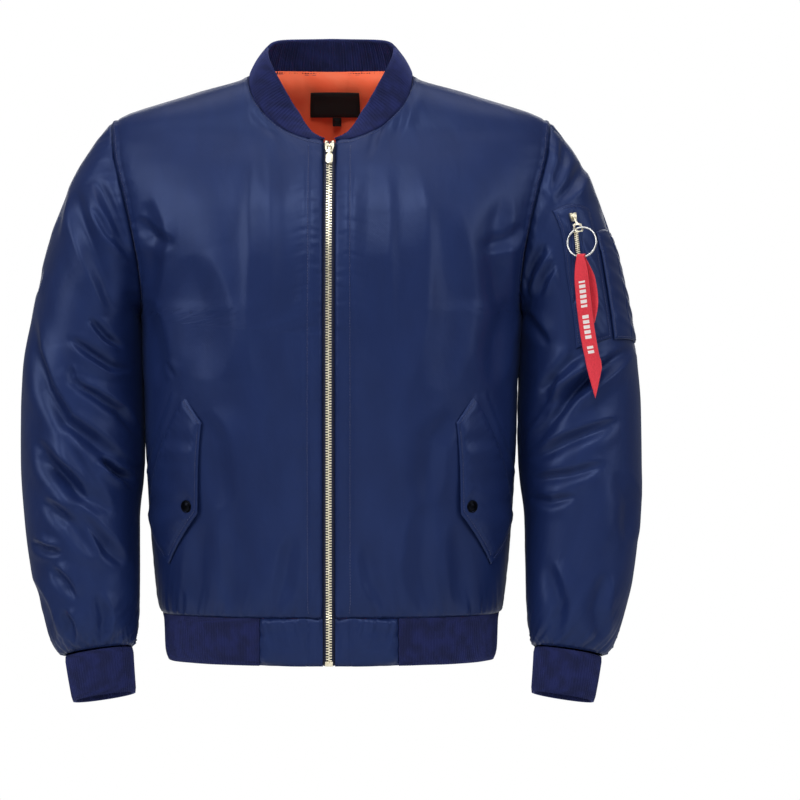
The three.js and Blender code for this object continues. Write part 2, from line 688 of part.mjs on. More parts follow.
// Hip pocket flaps: sewn along a slant near the side seam, free along the front edge.
function sideFront(around, z) {
  const curve = sectionCurve(z, -1, 0, bodyHalf(z)).reverse();
  const p = pointAlong(curve, around);
  return { p, n: bodyNormal(p, -1) };
}
function flapPlace(along, across) {
  const { sewnTop, sewnFoot, freeTop, freeMiddle, freeFoot } = flapCorners;
  const sewn = [mix(sewnTop.around, sewnFoot.around, along), mix(sewnTop.z, sewnFoot.z, along)];
  const [from, to, share] =
    along < 0.5 ? [freeTop, freeMiddle, along * 2] : [freeMiddle, freeFoot, along * 2 - 1];
  const free = [mix(from.around, to.around, share), mix(from.z, to.z, share)];
  return [mix(sewn[0], free[0], across), mix(sewn[1], free[1], across)];
}
function flapPoint(along, across) {
  const { p, n } = sideFront(...flapPlace(along, across));
  const free = fade(across * 1.2) * Math.sin(Math.PI * mix(0.15, 0.85, along));
  return { p: p.addScaledVector(n, seamGap + flapThick + flapLift * free), n };
}
const flapRows = steps(8).map((along) => steps(4).map((across) => flapPoint(along, across)));
add("pocket_flap_left", layer(flapRows, 0, flapThick), navy);
add("pocket_flap_right", layer(mirroredRows(flapRows), 0, flapThick), navy);

// A snap's domed cap, turned to face out of the cloth.
function placed(geometry, p, normal, up = vector(0, 0, 1)) {
  const side = up.clone().cross(normal).normalize();
  const above = normal.clone().cross(side).normalize();
  return geometry.applyMatrix4(new THREE.Matrix4().makeBasis(side, above, normal).setPosition(p));
}
const snapProfile = [
  [0, 0],
  [flapSnap.radius, 0],
  [flapSnap.radius, 0.7],
  [flapSnap.radius * 0.75, 1.7],
  [flapSnap.radius * 0.4, 2.2],
  [0, 2.4],
].map(([x, y]) => new THREE.Vector2(x, y));
function snap(mirror) {
  const { p, n } = flapPoint(flapSnap.along, flapSnap.across);
  p.addScaledVector(n, seamGap);
  const cap = new THREE.LatheGeometry(snapProfile, 14).rotateX(90 * degrees);
  return placed(cap, mirror ? flipped(p) : p, mirror ? flipped(n) : n);
}
add("snap_left", snap(false), black, 0.4, 0.6);
add("snap_right", snap(true), black, 0.4, 0.6);

// Sleeve pocket: a zipped patch and, beside it, a patch of pen slots.
function sleevePatch(places, rows, columns, lift) {
  const [outerT, outer, innerT, inner] = ["outerT", "outer", "innerT", "inner"].map((name) =>
    curveOf(places, "down", name),
  );
  return steps(rows).map((down) =>
    steps(columns).map((across) => {
      const t = mix(outerT(down), innerT(down), across);
      const angle = mix(outer(down), inner(down), across);
      const n = normalOn(plainSleeve, t, angle);
      return { p: plainSleeve(t, angle).addScaledVector(n, lift + patchThick), n };
    }),
  );
}
add("sleeve_pocket", layer(sleevePatch(sleevePocket, 8, 6, patchLift), 0, patchThick), navy);
add("pen_pocket", layer(sleevePatch(penPocket, 5, 4, patchLift), 0, patchThick), navy);

// Main zip: a tape each side of the centre line, the chain of teeth, and its end pieces.
const frontLine = (z) => {
  const p = bodyAt(0, z, -1);
  return { p, n: bodyNormal(p, -1) };
};
const zipTop = -neckDrop - 1;
const sliderTop = zipTop - 4;
const chainTop = sliderTop - sliderLength - 0.4;
const chainFoot = bandZ + 6;
const chainHeights = steps(14).map((t) => mix(chainTop, chainFoot, t));
function stripRows(heights, left, right, lift) {
  return heights.map((z) => {
    const { p, n } = frontLine(z);
    p.addScaledVector(n, lift);
    return [left, right].map((x) => ({ p: p.clone().setX(x), n }));
  });
}
const tapeRows = stripRows([zipTop, ...chainHeights, bandZ], 0.3, zipHalf - 0.4, -1.2);
add("zip_tape_left", layer(tapeRows, 0, 1.2), darkNavy, 0.8);
add("zip_tape_right", layer(mirroredRows(tapeRows), 0, 1.2), darkNavy, 0.8);
const chainRows = stripRows(chainHeights, -chainHalf, chainHalf, chainDepth - 0.8);
add("zip_chain", layer(chainRows, 0, chainDepth), steel, 0.35, 0.9);

function solidOf(geometry) {
  const bare = geometry.clone();
  for (const name of ["normal", "uv"]) bare.deleteAttribute(name);
  const merged = mergeVertices(bare, 1e-4);
  const { position } = merged.attributes;
  return new wasm.Manifold(
    new wasm.Mesh({
      numProp: 3,
      vertProperties: new Float32Array(position.array),
      triVerts: new Uint32Array(merged.index.array),
    }),
  );
}
function geometryOf(solid) {
  const mesh = solid.getMesh();
  return new THREE.BufferGeometry()
    .setAttribute("position", new THREE.BufferAttribute(mesh.vertProperties, 3))
    .setIndex(new THREE.BufferAttribute(mesh.triVerts, 1));
}
function outline(points, depth) {
  const shape = new THREE.Shape(points.map(([x, y]) => new THREE.Vector2(x, y)));
  return new THREE.ExtrudeGeometry(shape, { depth, bevelEnabled: false, curveSegments: 8 });
}

// A slider lies in its own frame: X across, Y up the zip, Z out of the cloth, bar at the origin.
function sliderGeometry(scale) {
  const [w, l] = [(sliderWidth / 2) * scale, (sliderLength / 2) * scale];
  const base = outline(
    [
      [-w, l],
      [-w * 0.3, l],
      [0, l * 0.75],
      [w * 0.3, l],
      [w, l],
      [w, l * 0.3],
      [w * 0.65, -l],
      [-w * 0.65, -l],
      [-w, l * 0.3],
    ],
    4 * scale,
  ).translate(0, 0, -(barLift + 4) * scale);
  const lugs = [-1, 1].map((side) =>
    new THREE.BoxGeometry(1 * scale, 3 * scale, (barLift + 1.8) * scale).translate(
      side * 2.3 * scale,
      0,
      (1 - barLift) * 0.5 * scale,
    ),
  );
  const bar = new THREE.CylinderGeometry(barRadius * scale, barRadius * scale, 4.8 * scale, 10);
  bar.rotateZ(90 * degrees);
  return geometryOf([...lugs, bar].reduce((sum, piece) => sum.add(solidOf(piece)), solidOf(base)));
}

// A pull hangs from the bar by its eye, which is open round the bar. A hole in its foot
// may hold a ring.
function pullGeometry(scale, length, footHalf, holeRadius = 0) {
  const [neck, thick] = [1.5 * scale, pullThick * scale];
  const blade = outline(
    [
      [-neck, -1.2],
      [-neck, -length * 0.4],
      [-footHalf, -length * 0.52],
      [-footHalf, -length + 1.6],
      [-footHalf + 1.6, -length],
      [footHalf - 1.6, -length],
      [footHalf, -length + 1.6],
      [footHalf, -length * 0.52],
      [neck, -length * 0.4],
      [neck, -1.2],
    ],
    thick,
  ).translate(0, 0, -thick / 2);
  const eye = (radius, width) =>
    solidOf(new THREE.CylinderGeometry(radius, radius, width, 14).rotateZ(90 * degrees));
  const inside = eye((barRadius + 0.45) * scale, neck * 4);
  const solid = solidOf(blade).add(eye((barRadius + 1.25) * scale, neck * 2)).subtract(inside);
  if (holeRadius === 0) return geometryOf(solid);
  const hole = new THREE.CylinderGeometry(holeRadius, holeRadius, 4, 16).rotateX(90 * degrees);
  return geometryOf(solid.subtract(solidOf(hole.translate(0, holeRadius + holeRim - length, 0))));
}

// Turns a zip part's own frame on to the cloth: p is the bar's place, down the zip's way.
function onCloth(geometry, p, normal, down, tilt = 0) {
  const up = down.clone().negate();
  const side = up.clone().cross(normal).normalize();
  const above = normal.clone().cross(side).normalize();
  const turned = geometry.clone().rotateX(tilt);
  return turned.applyMatrix4(new THREE.Matrix4().makeBasis(side, above, normal).setPosition(p));
}

const sliderMiddle = frontLine(sliderTop - sliderLength / 2);
const sliderDown = frontLine(sliderTop - sliderLength).p.sub(frontLine(sliderTop).p).normalize();
const pullTilt = 5 * degrees; // the pull's foot leans in to the chain
const mainBar = sliderMiddle.p.clone().addScaledVector(sliderMiddle.n, barLift + 4 - 0.9);
add("zip_slider", onCloth(sliderGeometry(1), mainBar, sliderMiddle.n, sliderDown), steel, 0.3, 0.9);
const mainPull = pullGeometry(1, pullLength, 3.9, 0);
add("zip_pull", onCloth(mainPull, mainBar, sliderMiddle.n, sliderDown, pullTilt), steel, 0.3, 0.9);
const stopAt = frontLine(zipTop - 1.8);
for (const [name, x] of [["zip_stop_left", 3.6], ["zip_stop_right", -3.6]]) {
  const block = placed(new THREE.BoxGeometry(2.6, 2.6, 1.6), stopAt.p.clone().setX(x), stopAt.n);
  const lift = stopAt.n.clone().multiplyScalar(-1.2 + 0.8 + 0.3);
  add(name, block.translate(lift.x, lift.y, lift.z), steel, 0.3, 0.9);
}
const boxAt = frontLine(bandZ + 3);
const boxLift = boxAt.n.clone().multiplyScalar(0.8);
add(
  "zip_box",
  placed(new THREE.BoxGeometry(8.4, 5.2, 3.2), boxAt.p, boxAt.n).translate(boxLift.x, boxLift.y, boxLift.z),
  steel,
  0.3,
  0.9,
);

// Sleeve pocket zip, with a split ring and a tape streamer on its pull.
const sleeveLine = (t) => {
  const share = (t - sleeveZip.fromT) / (sleeveZip.toT - sleeveZip.fromT);
  const angle = mix(sleeveZip.fromAngle, sleeveZip.toAngle, share);
  const n = normalOn(plainSleeve, t, angle);
  return { p: plainSleeve(t, angle).addScaledVector(n, patchLift + patchThick), n };
};
const smallBar = sleeveLine(sleeveZip.fromT);
const smallDown = sleeveLine(sleeveZip.fromT + 0.03).p.sub(smallBar.p).normalize();
const smallSide = smallBar.n.clone().cross(smallDown).normalize();
smallBar.p.addScaledVector(smallBar.n, (barLift + 4) * sleeveZipScale + seamGap);
const smallChain = steps(6).map((step) => {
  const { p, n } = sleeveLine(mix(sleeveZip.fromT + 0.02, sleeveZip.toT, step));
  p.addScaledVector(n, 2.4);
  return [2.2, -2.2].map((x) => ({ p: p.clone().addScaledVector(smallSide, x), n }));
});
add("sleeve_zip_chain", layer(smallChain, 0, 1.8), steel, 0.35, 0.9);
const smallSlider = sliderGeometry(sleeveZipScale);
add("sleeve_zip_slider", onCloth(smallSlider, smallBar.p, smallBar.n, smallDown), steel, 0.3, 0.9);
const smallPull = pullGeometry(sleeveZipScale, smallPullLength, ringHole + 1.2, ringHole);
add(
  "sleeve_zip_pull",
  onCloth(smallPull, smallBar.p, smallBar.n, smallDown, -smallPullTilt),
  steel,
  0.3,
  0.9,
);

// The ring hangs down through the pull's hole, turned so that it crosses the pull, and leans
// out a little over the pocket's cloth.
const holeDown = smallPullLength - ringHole - holeRim;
const ringTop = smallBar.p
  .clone()
  .addScaledVector(smallDown, holeDown * Math.cos(smallPullTilt))
  .addScaledVector(smallBar.n, holeDown * Math.sin(smallPullTilt));
const plumb = vector(0, 0, -1);
const ringAcross = smallSide
  .clone()
  .multiplyScalar(Math.cos(ringTurn))
  .addScaledVector(smallBar.n, Math.sin(ringTurn))
  .setZ(0)
  .normalize();
const ringFace = ringAcross.clone().cross(plumb).normalize();
if (ringFace.dot(smallBar.n) < 0) ringFace.negate();
const hang = plumb.clone().addScaledVector(ringFace, ringLean).normalize();
const ringMiddle = ringTop
  .clone()
  .addScaledVector(hang, ringRadius * Math.cos(ringSwing))
  .addScaledVector(ringAcross, ringRadius * Math.sin(ringSwing));
function ringGeometry() {
  const [rounds, sides] = [24, 6];
  const points = counted(rounds * sides, (i) => {
    const turn = (Math.floor(i / sides) / rounds) * 2 * Math.PI;
    const side = ((i % sides) / sides) * 2 * Math.PI;
    const out = ringAcross.clone().multiplyScalar(Math.sin(turn));
    out.addScaledVector(hang, -Math.cos(turn));
    return ringMiddle
      .clone()
      .addScaledVector(out, ringRadius + wireRadius * Math.cos(side))
      .addScaledVector(ringFace, wireRadius * Math.sin(side));
  });
  const triangles = counted(rounds * sides, (i) => {
    const [round, side] = [Math.floor(i / sides), i % sides];
    const at = (r, k) => (r % rounds) * sides + (k % sides);
    const [a, b] = [at(round, side), at(round, side + 1)];
    const [c, d] = [at(round + 1, side + 1), at(round + 1, side)];
    return [
      [a, b, c],
      [a, c, d],
    ];
  });
  return closedGeometry(points, triangles.flat());
}
add("split_ring", ringGeometry(), steel, 0.3, 0.9);

// The streamer: a flat tape looped through the ring. Places are from the ring's foot.
const ribbonPath = [
  { drift: 11, down: 72, out: -2.2, half: 8 },
  { drift: 10, down: 50, out: -3.4, half: 8.2 },
  { drift: 7, down: 24, out: -3.6, half: 8 },
  { drift: 2, down: 8, out: -2.8, half: 6 },
  { drift: 0, down: 1, out: -2.3, half: 4.6 },
  { drift: 0, down: -1.6, out: -1.9, half: 4.4 },
  { drift: 0, down: -2.9, out: 0, half: 4.4 },
  { drift: 0, down: -1.6, out: 1.9, half: 4.4 },
  { drift: 0, down: 1, out: 2.3, half: 4.6 },
  { drift: 0.5, down: 9, out: 2.4, half: 6.5 },
  { drift: 1.5, down: 26, out: 2, half: 8.2 },
  { drift: 3.5, down: 50, out: 1, half: 8.6 },
  { drift: 6.5, down: 76, out: 0, half: 8.7 },
  { drift: 13, down: 110, out: 0.2, half: 8.6 },
  { drift: 20.5, down: 138, out: 1, half: 3.8 },
];
const ringFoot = ringMiddle.clone().addScaledVector(hang, ringRadius);
const ribbonRows = ribbonPath.map((here, i) => {
  const before = ribbonPath[Math.max(i - 1, 0)];
  const after = ribbonPath[Math.min(i + 1, ribbonPath.length - 1)];
  const along = vector(0, 0, before.down - after.down);
  along.addScaledVector(ringFace, after.out - before.out);
  const n = along.normalize().cross(ringAcross).normalize();
  const centre = ringFoot.clone().addScaledVector(plumb, here.down);
  centre.addScaledVector(ringFace, here.out).addScaledVector(ringAcross, here.drift);
  return [-1, 1].map((edge) => ({
    p: centre.clone().addScaledVector(ringAcross, edge * here.half),
    n,
  }));
});
// The cut end slants to a point.
const [longCorner, shortCorner] = ribbonRows.at(-1);
longCorner.p.addScaledVector(plumb, ribbonSlant);
shortCorner.p.addScaledVector(plumb, -ribbonSlant);
add("ribbon", layer(ribbonRows, -ribbonThick / 2, ribbonThick / 2), red, 0.8);

// Labels and the inner pocket, on the lining.
function insidePatch(side, fromX, toX, fromZ, toZ, slant, lift, thick, columns) {
  return steps(2).map((down) =>
    steps(columns).map((across) => {
      const x = mix(fromX, toX, across);
      const p = bodyAt(x, mix(fromZ, toZ, down) + slant * across, side);
      const n = bodyNormal(p, side);
      return { p: p.addScaledVector(n, -(liningDepth + quiltCrown + lift + thick)), n: n.negate() };
    }),
  );
}
add("neck_label", layer(insidePatch(1, -26, 32, -7, -35, 0, 0.6, 1, 4), 0, 1), black, 0.7);
add("size_tab", layer(insidePatch(1, 0, 10, -35.5, -45, 0, 0.6, 1, 1), 0, 1), black, 0.7);
add(
  "inner_welt",
  layer(insidePatch(-1, 62, 168, -262, -279, 24, 0.6, 1.6, 6), 0, 1.6),
  darkNavy,
);

export default group;
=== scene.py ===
# A padded bomber jacket, zipped up: satin nylon shell, knitted bands, quilted orange lining.
import math

import bmesh
import bpy
import numpy as np
from mathutils import Matrix, Vector


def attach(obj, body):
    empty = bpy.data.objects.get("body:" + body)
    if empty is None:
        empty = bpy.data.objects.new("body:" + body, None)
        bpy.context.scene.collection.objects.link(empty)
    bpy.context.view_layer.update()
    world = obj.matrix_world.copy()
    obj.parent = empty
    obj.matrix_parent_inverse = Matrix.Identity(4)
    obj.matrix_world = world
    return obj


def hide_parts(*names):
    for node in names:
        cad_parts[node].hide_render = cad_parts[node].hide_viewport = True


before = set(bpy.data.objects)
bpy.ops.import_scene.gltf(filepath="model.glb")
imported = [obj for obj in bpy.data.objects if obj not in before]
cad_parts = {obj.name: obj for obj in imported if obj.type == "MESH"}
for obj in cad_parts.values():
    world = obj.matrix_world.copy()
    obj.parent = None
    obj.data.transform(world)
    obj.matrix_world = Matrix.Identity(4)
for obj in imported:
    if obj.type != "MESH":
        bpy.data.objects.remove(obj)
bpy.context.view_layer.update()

mm = 0.001

# The garment's own sizes in millimetres, the same as its solids'
garment = dict(
    neckHalf=92, neckDrop=79, neckRise=8, tip=-53, armpit=-268, hem=-601, band=-653,
    yokeCentre=-140, yokeRow=7, rows=20, zipHalf=6.6, tabEnd=76, seam=0.4, collarFoot=-0.5,
    collarBow=2, shell=2.4, rib=2.8, liningDepth=4.6, quiltLine=1.2, quiltCrown=5.2,
)
bodySections = [
    dict(z=14, half=90.5, front=48, back=64, square=2),
    dict(z=0, half=92, front=60, back=73, square=2),
    dict(z=-20, half=151, front=71, back=88, square=2.05),
    dict(z=-53, half=245, front=83, back=107, square=2.15),
    dict(z=-64, half=258, front=86, back=112, square=2.2),
    dict(z=-85, half=270, front=98, back=121, square=2.25),
    dict(z=-110, half=268, front=114, back=129, square=2.3),
    dict(z=-160, half=249, front=138, back=142, square=2.4),
    dict(z=-214, half=226, front=151, back=148, square=2.4),
    dict(z=-254, half=213.5, front=154, back=148, square=2.45),
    dict(z=-268, half=211, front=154.5, back=147.5, square=2.5),
    dict(z=-308, half=208, front=155, back=146, square=2.5),
    dict(z=-400, half=206, front=152, back=139, square=2.5),
    dict(z=-480, half=202, front=147, back=133, square=2.4),
    dict(z=-545, half=197, front=141, back=127, square=2.35),
    dict(z=-588, half=192, front=136, back=123, square=2.3),
    dict(z=-601, half=189, front=133, back=121, square=2.3),
    dict(z=-606, half=187, front=131, back=119, square=2.3),
    dict(z=-640, half=185.5, front=129.5, back=117.5, square=2.3),
    dict(z=-653, half=182.5, front=127.5, back=115.5, square=2.3),
]
armholeSeam = [
    dict(z=-53, x=245), dict(z=-90, x=240), dict(z=-130, x=230), dict(z=-170, x=220.5),
    dict(z=-210, x=213), dict(z=-250, x=209.5), dict(z=-268, x=211),
]
sleeveRings = [
    dict(t=0, outerX=245.5, outerZ=-53, innerX=211.6, innerZ=-268, depth=77, y=0, lean=0),
    dict(t=0.04, outerX=264, outerZ=-79, innerX=212, innerZ=-270, depth=79, y=0, lean=0),
    dict(t=0.1, outerX=285, outerZ=-113, innerX=212, innerZ=-274, depth=81, y=0, lean=0),
    dict(t=0.17, outerX=303, outerZ=-156, innerX=211.9, innerZ=-281, depth=82, y=0, lean=0),
    dict(t=0.25, outerX=319, outerZ=-208, innerX=211.6, innerZ=-292, depth=82, y=0, lean=1),
    dict(t=0.34, outerX=331, outerZ=-262, innerX=211.3, innerZ=-312, depth=81, y=-1, lean=3),
    dict(t=0.44, outerX=340, outerZ=-318, innerX=210.8, innerZ=-344, depth=79, y=-4, lean=5),
    dict(t=0.54, outerX=344.5, outerZ=-375, innerX=210.2, innerZ=-386, depth=76, y=-8, lean=7),
    dict(t=0.64, outerX=345, outerZ=-432, innerX=210.6, innerZ=-432, depth=73, y=-14, lean=8),
    dict(t=0.77, outerX=341.5, outerZ=-500, innerX=217, innerZ=-496, depth=66, y=-24, lean=9),
    dict(t=0.88, outerX=334, outerZ=-562, innerX=218, innerZ=-554, depth=59, y=-33, lean=9),
    dict(t=0.95, outerX=321, outerZ=-610, innerX=219.5, innerZ=-598, depth=52, y=-40, lean=9),
    dict(t=0.985, outerX=312, outerZ=-636, innerX=222, innerZ=-624, depth=45, y=-43, lean=9),
    dict(t=1, outerX=303, outerZ=-648.5, innerX=224, innerZ=-637, depth=40, y=-44, lean=9),
]
cuffRings = [
    dict(t=0, outerX=301, outerZ=-649.4, innerX=225, innerZ=-638, depth=38.5, y=-44.2, lean=9),
    dict(t=0.5, outerX=297, outerZ=-673, innerX=223.6, innerZ=-661, depth=37, y=-48, lean=9),
    dict(t=1, outerX=292, outerZ=-698, innerX=221.6, innerZ=-687, depth=35.5, y=-52, lean=9),
]
collarSections = [
    dict(angle=4, width=3, lean=60), dict(angle=12, width=14, lean=60),
    dict(angle=21, width=24, lean=56), dict(angle=35, width=33, lean=44),
    dict(angle=50, width=35, lean=30), dict(angle=69, width=36, lean=27),
    dict(angle=90, width=38, lean=32), dict(angle=135, width=41, lean=28),
    dict(angle=180, width=41, lean=18),
]


def mix(a, b, t):
    return a + (b - a) * t


def fade(t):
    share = np.clip(t, 0, 1)
    return share * share * (3 - 2 * share)


def curveOf(rows, at, value):
    ordered = sorted(rows, key=lambda row: row[at])
    xs = np.array([row[at] for row in ordered], float)
    ys = np.array([row[value] for row in ordered], float)
    rise = np.diff(ys) / np.diff(xs)
    before, after = np.append(rise[0], rise), np.append(rise, rise[-1])
    both = np.where(before + after == 0, 1, before + after)
    slopes = np.where(before * after <= 0, 0, 2 * before * after / both)

    def curve(x):
        x = np.clip(x, xs[0], xs[-1])
        i = np.clip(np.searchsorted(xs, x) - 1, 0, len(xs) - 2)
        span = xs[i + 1] - xs[i]
        u = (x - xs[i]) / span
        return (
            (2 * u**3 - 3 * u**2 + 1) * ys[i] + (u**3 - 2 * u**2 + u) * span * slopes[i]
            + (3 * u**2 - 2 * u**3) * ys[i + 1] + (u**3 - u**2) * span * slopes[i + 1]
        )
    return curve


bodyHalf = curveOf(bodySections, "z", "half")
bodyFront = curveOf(bodySections, "z", "front")
bodyBack = curveOf(bodySections, "z", "back")
bodySquare = curveOf(bodySections, "z", "square")
armholeX = curveOf(armholeSeam, "z", "x")
collarWidth = curveOf(collarSections, "angle", "width")
collarLean = curveOf(collarSections, "angle", "lean")


def bodyDepth(z, side):
    return bodyFront(z) if side < 0 else bodyBack(z)


def bodyAt(x, z, side):
    square = bodySquare(z)
    share = np.clip(np.abs(x) / bodyHalf(z), 0, 1)
    y = side * bodyDepth(z, side) * (1 - share**square) ** (1 / square)
    return np.stack(np.broadcast_arrays(x, y, z), axis=-1).astype(float)


def unit(v):
    return v / np.maximum(np.linalg.norm(v, axis=-1, keepdims=True), 1e-12)


def bodyNormal(p, side):
    def level(q):
        square, depth = bodySquare(q[..., 2]), bodyDepth(q[..., 2], side)
        return (np.abs(q[..., 0]) / bodyHalf(q[..., 2])) ** square + (np.abs(q[..., 1]) / depth) ** square
    n = np.stack([level(p + step) - level(p - step) for step in 0.05 * np.eye(3)], axis=-1)
    n[..., 1] = np.where(np.abs(p[..., 1]) < 0.5, 0, n[..., 1])
    return unit(n)


# Places along a level section, by their share of its length from startX to endX
def alongSection(z, side, startX, endX, share, samples=97, fromEnd=None):
    z, endX, share = np.broadcast_arrays(z, endX, share)
    half, depth, power = bodyHalf(z), bodyDepth(z, side), 2 / bodySquare(z)
    first = np.arccos(np.clip(startX / half, 0, 1) ** (1 / power))
    last = np.arccos(np.clip(endX / half, 0, 1) ** (1 / power))
    turns = first[..., None] + (last - first)[..., None] * np.linspace(0, 1, samples)
    x = half[..., None] * np.maximum(np.cos(turns), 0) ** power[..., None]
    y = depth[..., None] * np.maximum(np.sin(turns), 0) ** power[..., None]
    lengths = np.cumsum(np.hypot(np.diff(x), np.diff(y)), axis=-1)
    lengths = np.concatenate([np.zeros_like(lengths[..., :1]), lengths], axis=-1)
    target = share * lengths[..., -1] if fromEnd is None else lengths[..., -1] - fromEnd
    i = np.clip((lengths < target[..., None]).sum(-1) - 1, 0, samples - 2)
    low = np.take_along_axis(lengths, i[..., None], -1)[..., 0]
    high = np.take_along_axis(lengths, i[..., None] + 1, -1)[..., 0]
    local = np.clip((target - low) / np.maximum(high - low, 1e-9), 0, 1)
    turn = first + (last - first) * (i + local) / (samples - 1)
    across = np.maximum(np.cos(turn), 0) ** power
    out = side * depth * np.maximum(np.sin(turn), 0) ** power
    return np.stack([half * across, out, z], axis=-1)


def armholeZ(share):
    return mix(garment["armpit"], garment["tip"], (1 - np.cos(np.pi * np.clip(share, 0, 1))) / 2)


yokeZ = float(armholeZ(garment["yokeRow"] / 10))
shoulderHeights = np.linspace(garment["tip"], 0, 400)
shoulderHalves = bodyHalf(shoulderHeights)


def shoulderZ(x):
    return np.interp(-x, -shoulderHalves, shoulderHeights)


def neckPoint(angle):
    across = np.sin(np.radians(angle))
    front = angle < 90
    z = np.where(front, -garment["neckDrop"] * np.cos(np.radians(angle)), garment["neckRise"] * (1 - across**6))
    x = garment["neckHalf"] * across
    return np.where(front[..., None], bodyAt(x, z, -1), bodyAt(x, z, 1))


# A panel's surface on the wearer's left: shares go from the centre line to the side,
# levels from hem (0) past the armpit (10) to neck and shoulder (20).
def panelPoints(side, startX, shares, levels):
    u, v = np.meshgrid(shares, levels)
    height = np.where(v <= 10, mix(garment["hem"], garment["armpit"], v / 10), armholeZ((v - 10) / 10))
    height = np.minimum(height, yokeZ)
    centreRise = (mix(garment["yokeCentre"], yokeZ, u) - garment["hem"]) / (yokeZ - garment["hem"])
    z = garment["hem"] + (height - garment["hem"]) * centreRise
    sideX = np.where(z <= garment["armpit"], bodyHalf(z), armholeX(z))
    points = alongSection(z, side, startX, sideX, u)
    neckShare = 5 / 12
    base = points[np.searchsorted(levels, 17) - 1 if 17 not in levels else list(levels).index(17)]
    neckStart = math.degrees(math.asin(startX / garment["neckHalf"]))
    angle = mix(neckStart, 90, np.clip(shares / neckShare, 0, 1))
    neck = neckPoint(np.minimum(angle, 89.9) if side < 0 else np.maximum(180 - angle, 90.1))
    middle = np.interp(neckShare, shares, base[:, 0])
    run = np.clip((base[:, 0] - middle) / (base[-1, 0] - middle), 0, 1)
    topX = np.where(shares <= neckShare, neck[:, 0], mix(garment["neckHalf"], armholeX(garment["tip"]), run))
    topZ = np.where(shares <= neckShare, neck[:, 2], shoulderZ(topX))
    edge = np.clip(shares * 12 - 11, 0, 1)
    for row, level in enumerate(levels):
        if level <= 17:
            continue
        edgeZ = armholeZ((level - 10) / 10)
        rowZ = mix(base[:, 2], topZ, (edgeZ - yokeZ) / (garment["tip"] - yokeZ))
        rowX = mix(base[:, 0], topX, (level - 17) / 3)
        rowX = rowX + (armholeX(edgeZ) - rowX[-1]) * edge
        points[row] = bodyAt(rowX, rowZ, side)
    return points


def mirrored(points):
    return (points * [-1, 1, 1])[:, ::-1]


def ringPoint(rings, t, angle):
    at = {name: curveOf(rings, "t", name)(t) for name in rings[0] if name != "t"}
    power = 2 / 2.15
    c, s = np.cos(np.radians(angle)), np.sin(np.radians(angle))
    c, s = np.sign(c) * np.abs(c) ** power, np.sign(s) * np.abs(s) ** power
    outer = np.stack([at["outerX"], at["y"], at["outerZ"]], axis=-1)
    inner = np.stack([at["innerX"], at["y"], at["innerZ"]], axis=-1)
    lean = np.radians(at["lean"])
    forward = np.stack([0 * lean, -np.cos(lean), np.sin(lean)], axis=-1)
    return (outer + inner) / 2 + (outer - inner) / 2 * c[..., None] + forward * (at["depth"] * s)[..., None]


def armholePoint(angle):
    angle = angle % 360
    z = armholeZ(np.abs(180 - angle) / 180)
    s = np.sin(np.radians(angle))
    x = armholeX(z)
    p = np.where((s > 0)[..., None], bodyAt(x, z, -1), bodyAt(x, z, 1))
    p[..., 1] = np.where(np.abs(s) < 1e-6, 0, p[..., 1])
    return p


# Which way both pieces are pulled in or out where they meet at the armhole
def armholeFacing(z, side):
    low = bodyAt(armholeX(z - 0.5), z - 0.5, side)
    high = bodyAt(armholeX(z + 0.5), z + 0.5, side)
    along = high - low
    facing = np.stack([0 * z, side * np.abs(along[..., 2]), -side * along[..., 1] * np.sign(along[..., 2])], axis=-1)
    facing[z > garment["tip"] - 0.5] = (0, 0, 1)
    facing[z < garment["armpit"] + 0.5] = (0, 0, -1)
    return unit(facing)


def plainSleeve(t, angle):
    t, angle = np.broadcast_arrays(np.asarray(t, float), np.asarray(angle, float))
    away = armholePoint(angle) - ringPoint(sleeveRings, 0 * t, angle)
    return ringPoint(sleeveRings, t, angle) + away * (1 - fade(t / 0.12))[..., None]


def sleeveNormal(t, angle):
    along = plainSleeve(np.minimum(t + 0.004, 1), angle) - plainSleeve(np.maximum(t - 0.004, 0), angle)
    around = plainSleeve(t, angle + 0.5) - plainSleeve(t, angle - 0.5)
    return -unit(np.cross(along, around))


# Soft goods: relief in millimetres, along each piece's normals
def seenAt(across, down):
    return np.array([(across - 331) * 1.12, (75 - down) * 1.12])


def normalsOf(points, wrapped=False):
    if wrapped:
        points = np.concatenate([points[:, -2:-1], points, points[:, 1:2]], axis=1)
    n = unit(np.cross(np.gradient(points, axis=1), np.gradient(points, axis=0)))
    return n[:, 1:-1] if wrapped else n


def spansOf(points):
    def running(axis):
        steps = np.linalg.norm(np.diff(points, axis=axis), axis=2)
        start = np.zeros_like(np.take(steps, [0], axis=axis))
        return np.concatenate([start, np.cumsum(steps, axis=axis)], axis=axis)
    across, up = running(1), running(0)
    return dict(left=across, right=across[:, -1:] - across, foot=up, top=up[-1:] - up)


# An uneven wave along a seam, between about -1 and 1
def ripple(along, pitch, seed):
    dice = np.random.default_rng(seed)
    total = 0
    for scale in (1, 0.62, 1.7):
        phase, wander = dice.uniform(0, 6.28, 2)
        total = total + np.sin(6.28 * along / (pitch * scale) + phase + np.sin(6.28 * along / (pitch * 5.3 * scale) + wander))
    return total / 2.4


def seamDip(distance, depth=1.6, width=2.6):
    return -depth * np.exp(-((distance / width) ** 2))


def puckers(distance, along, pitch, size, reach, seed):
    near = np.exp(-distance / reach) * (1 - np.exp(-((distance / 2.5) ** 2)))
    return size * near * ripple(along + 0.25 * distance, pitch, seed)


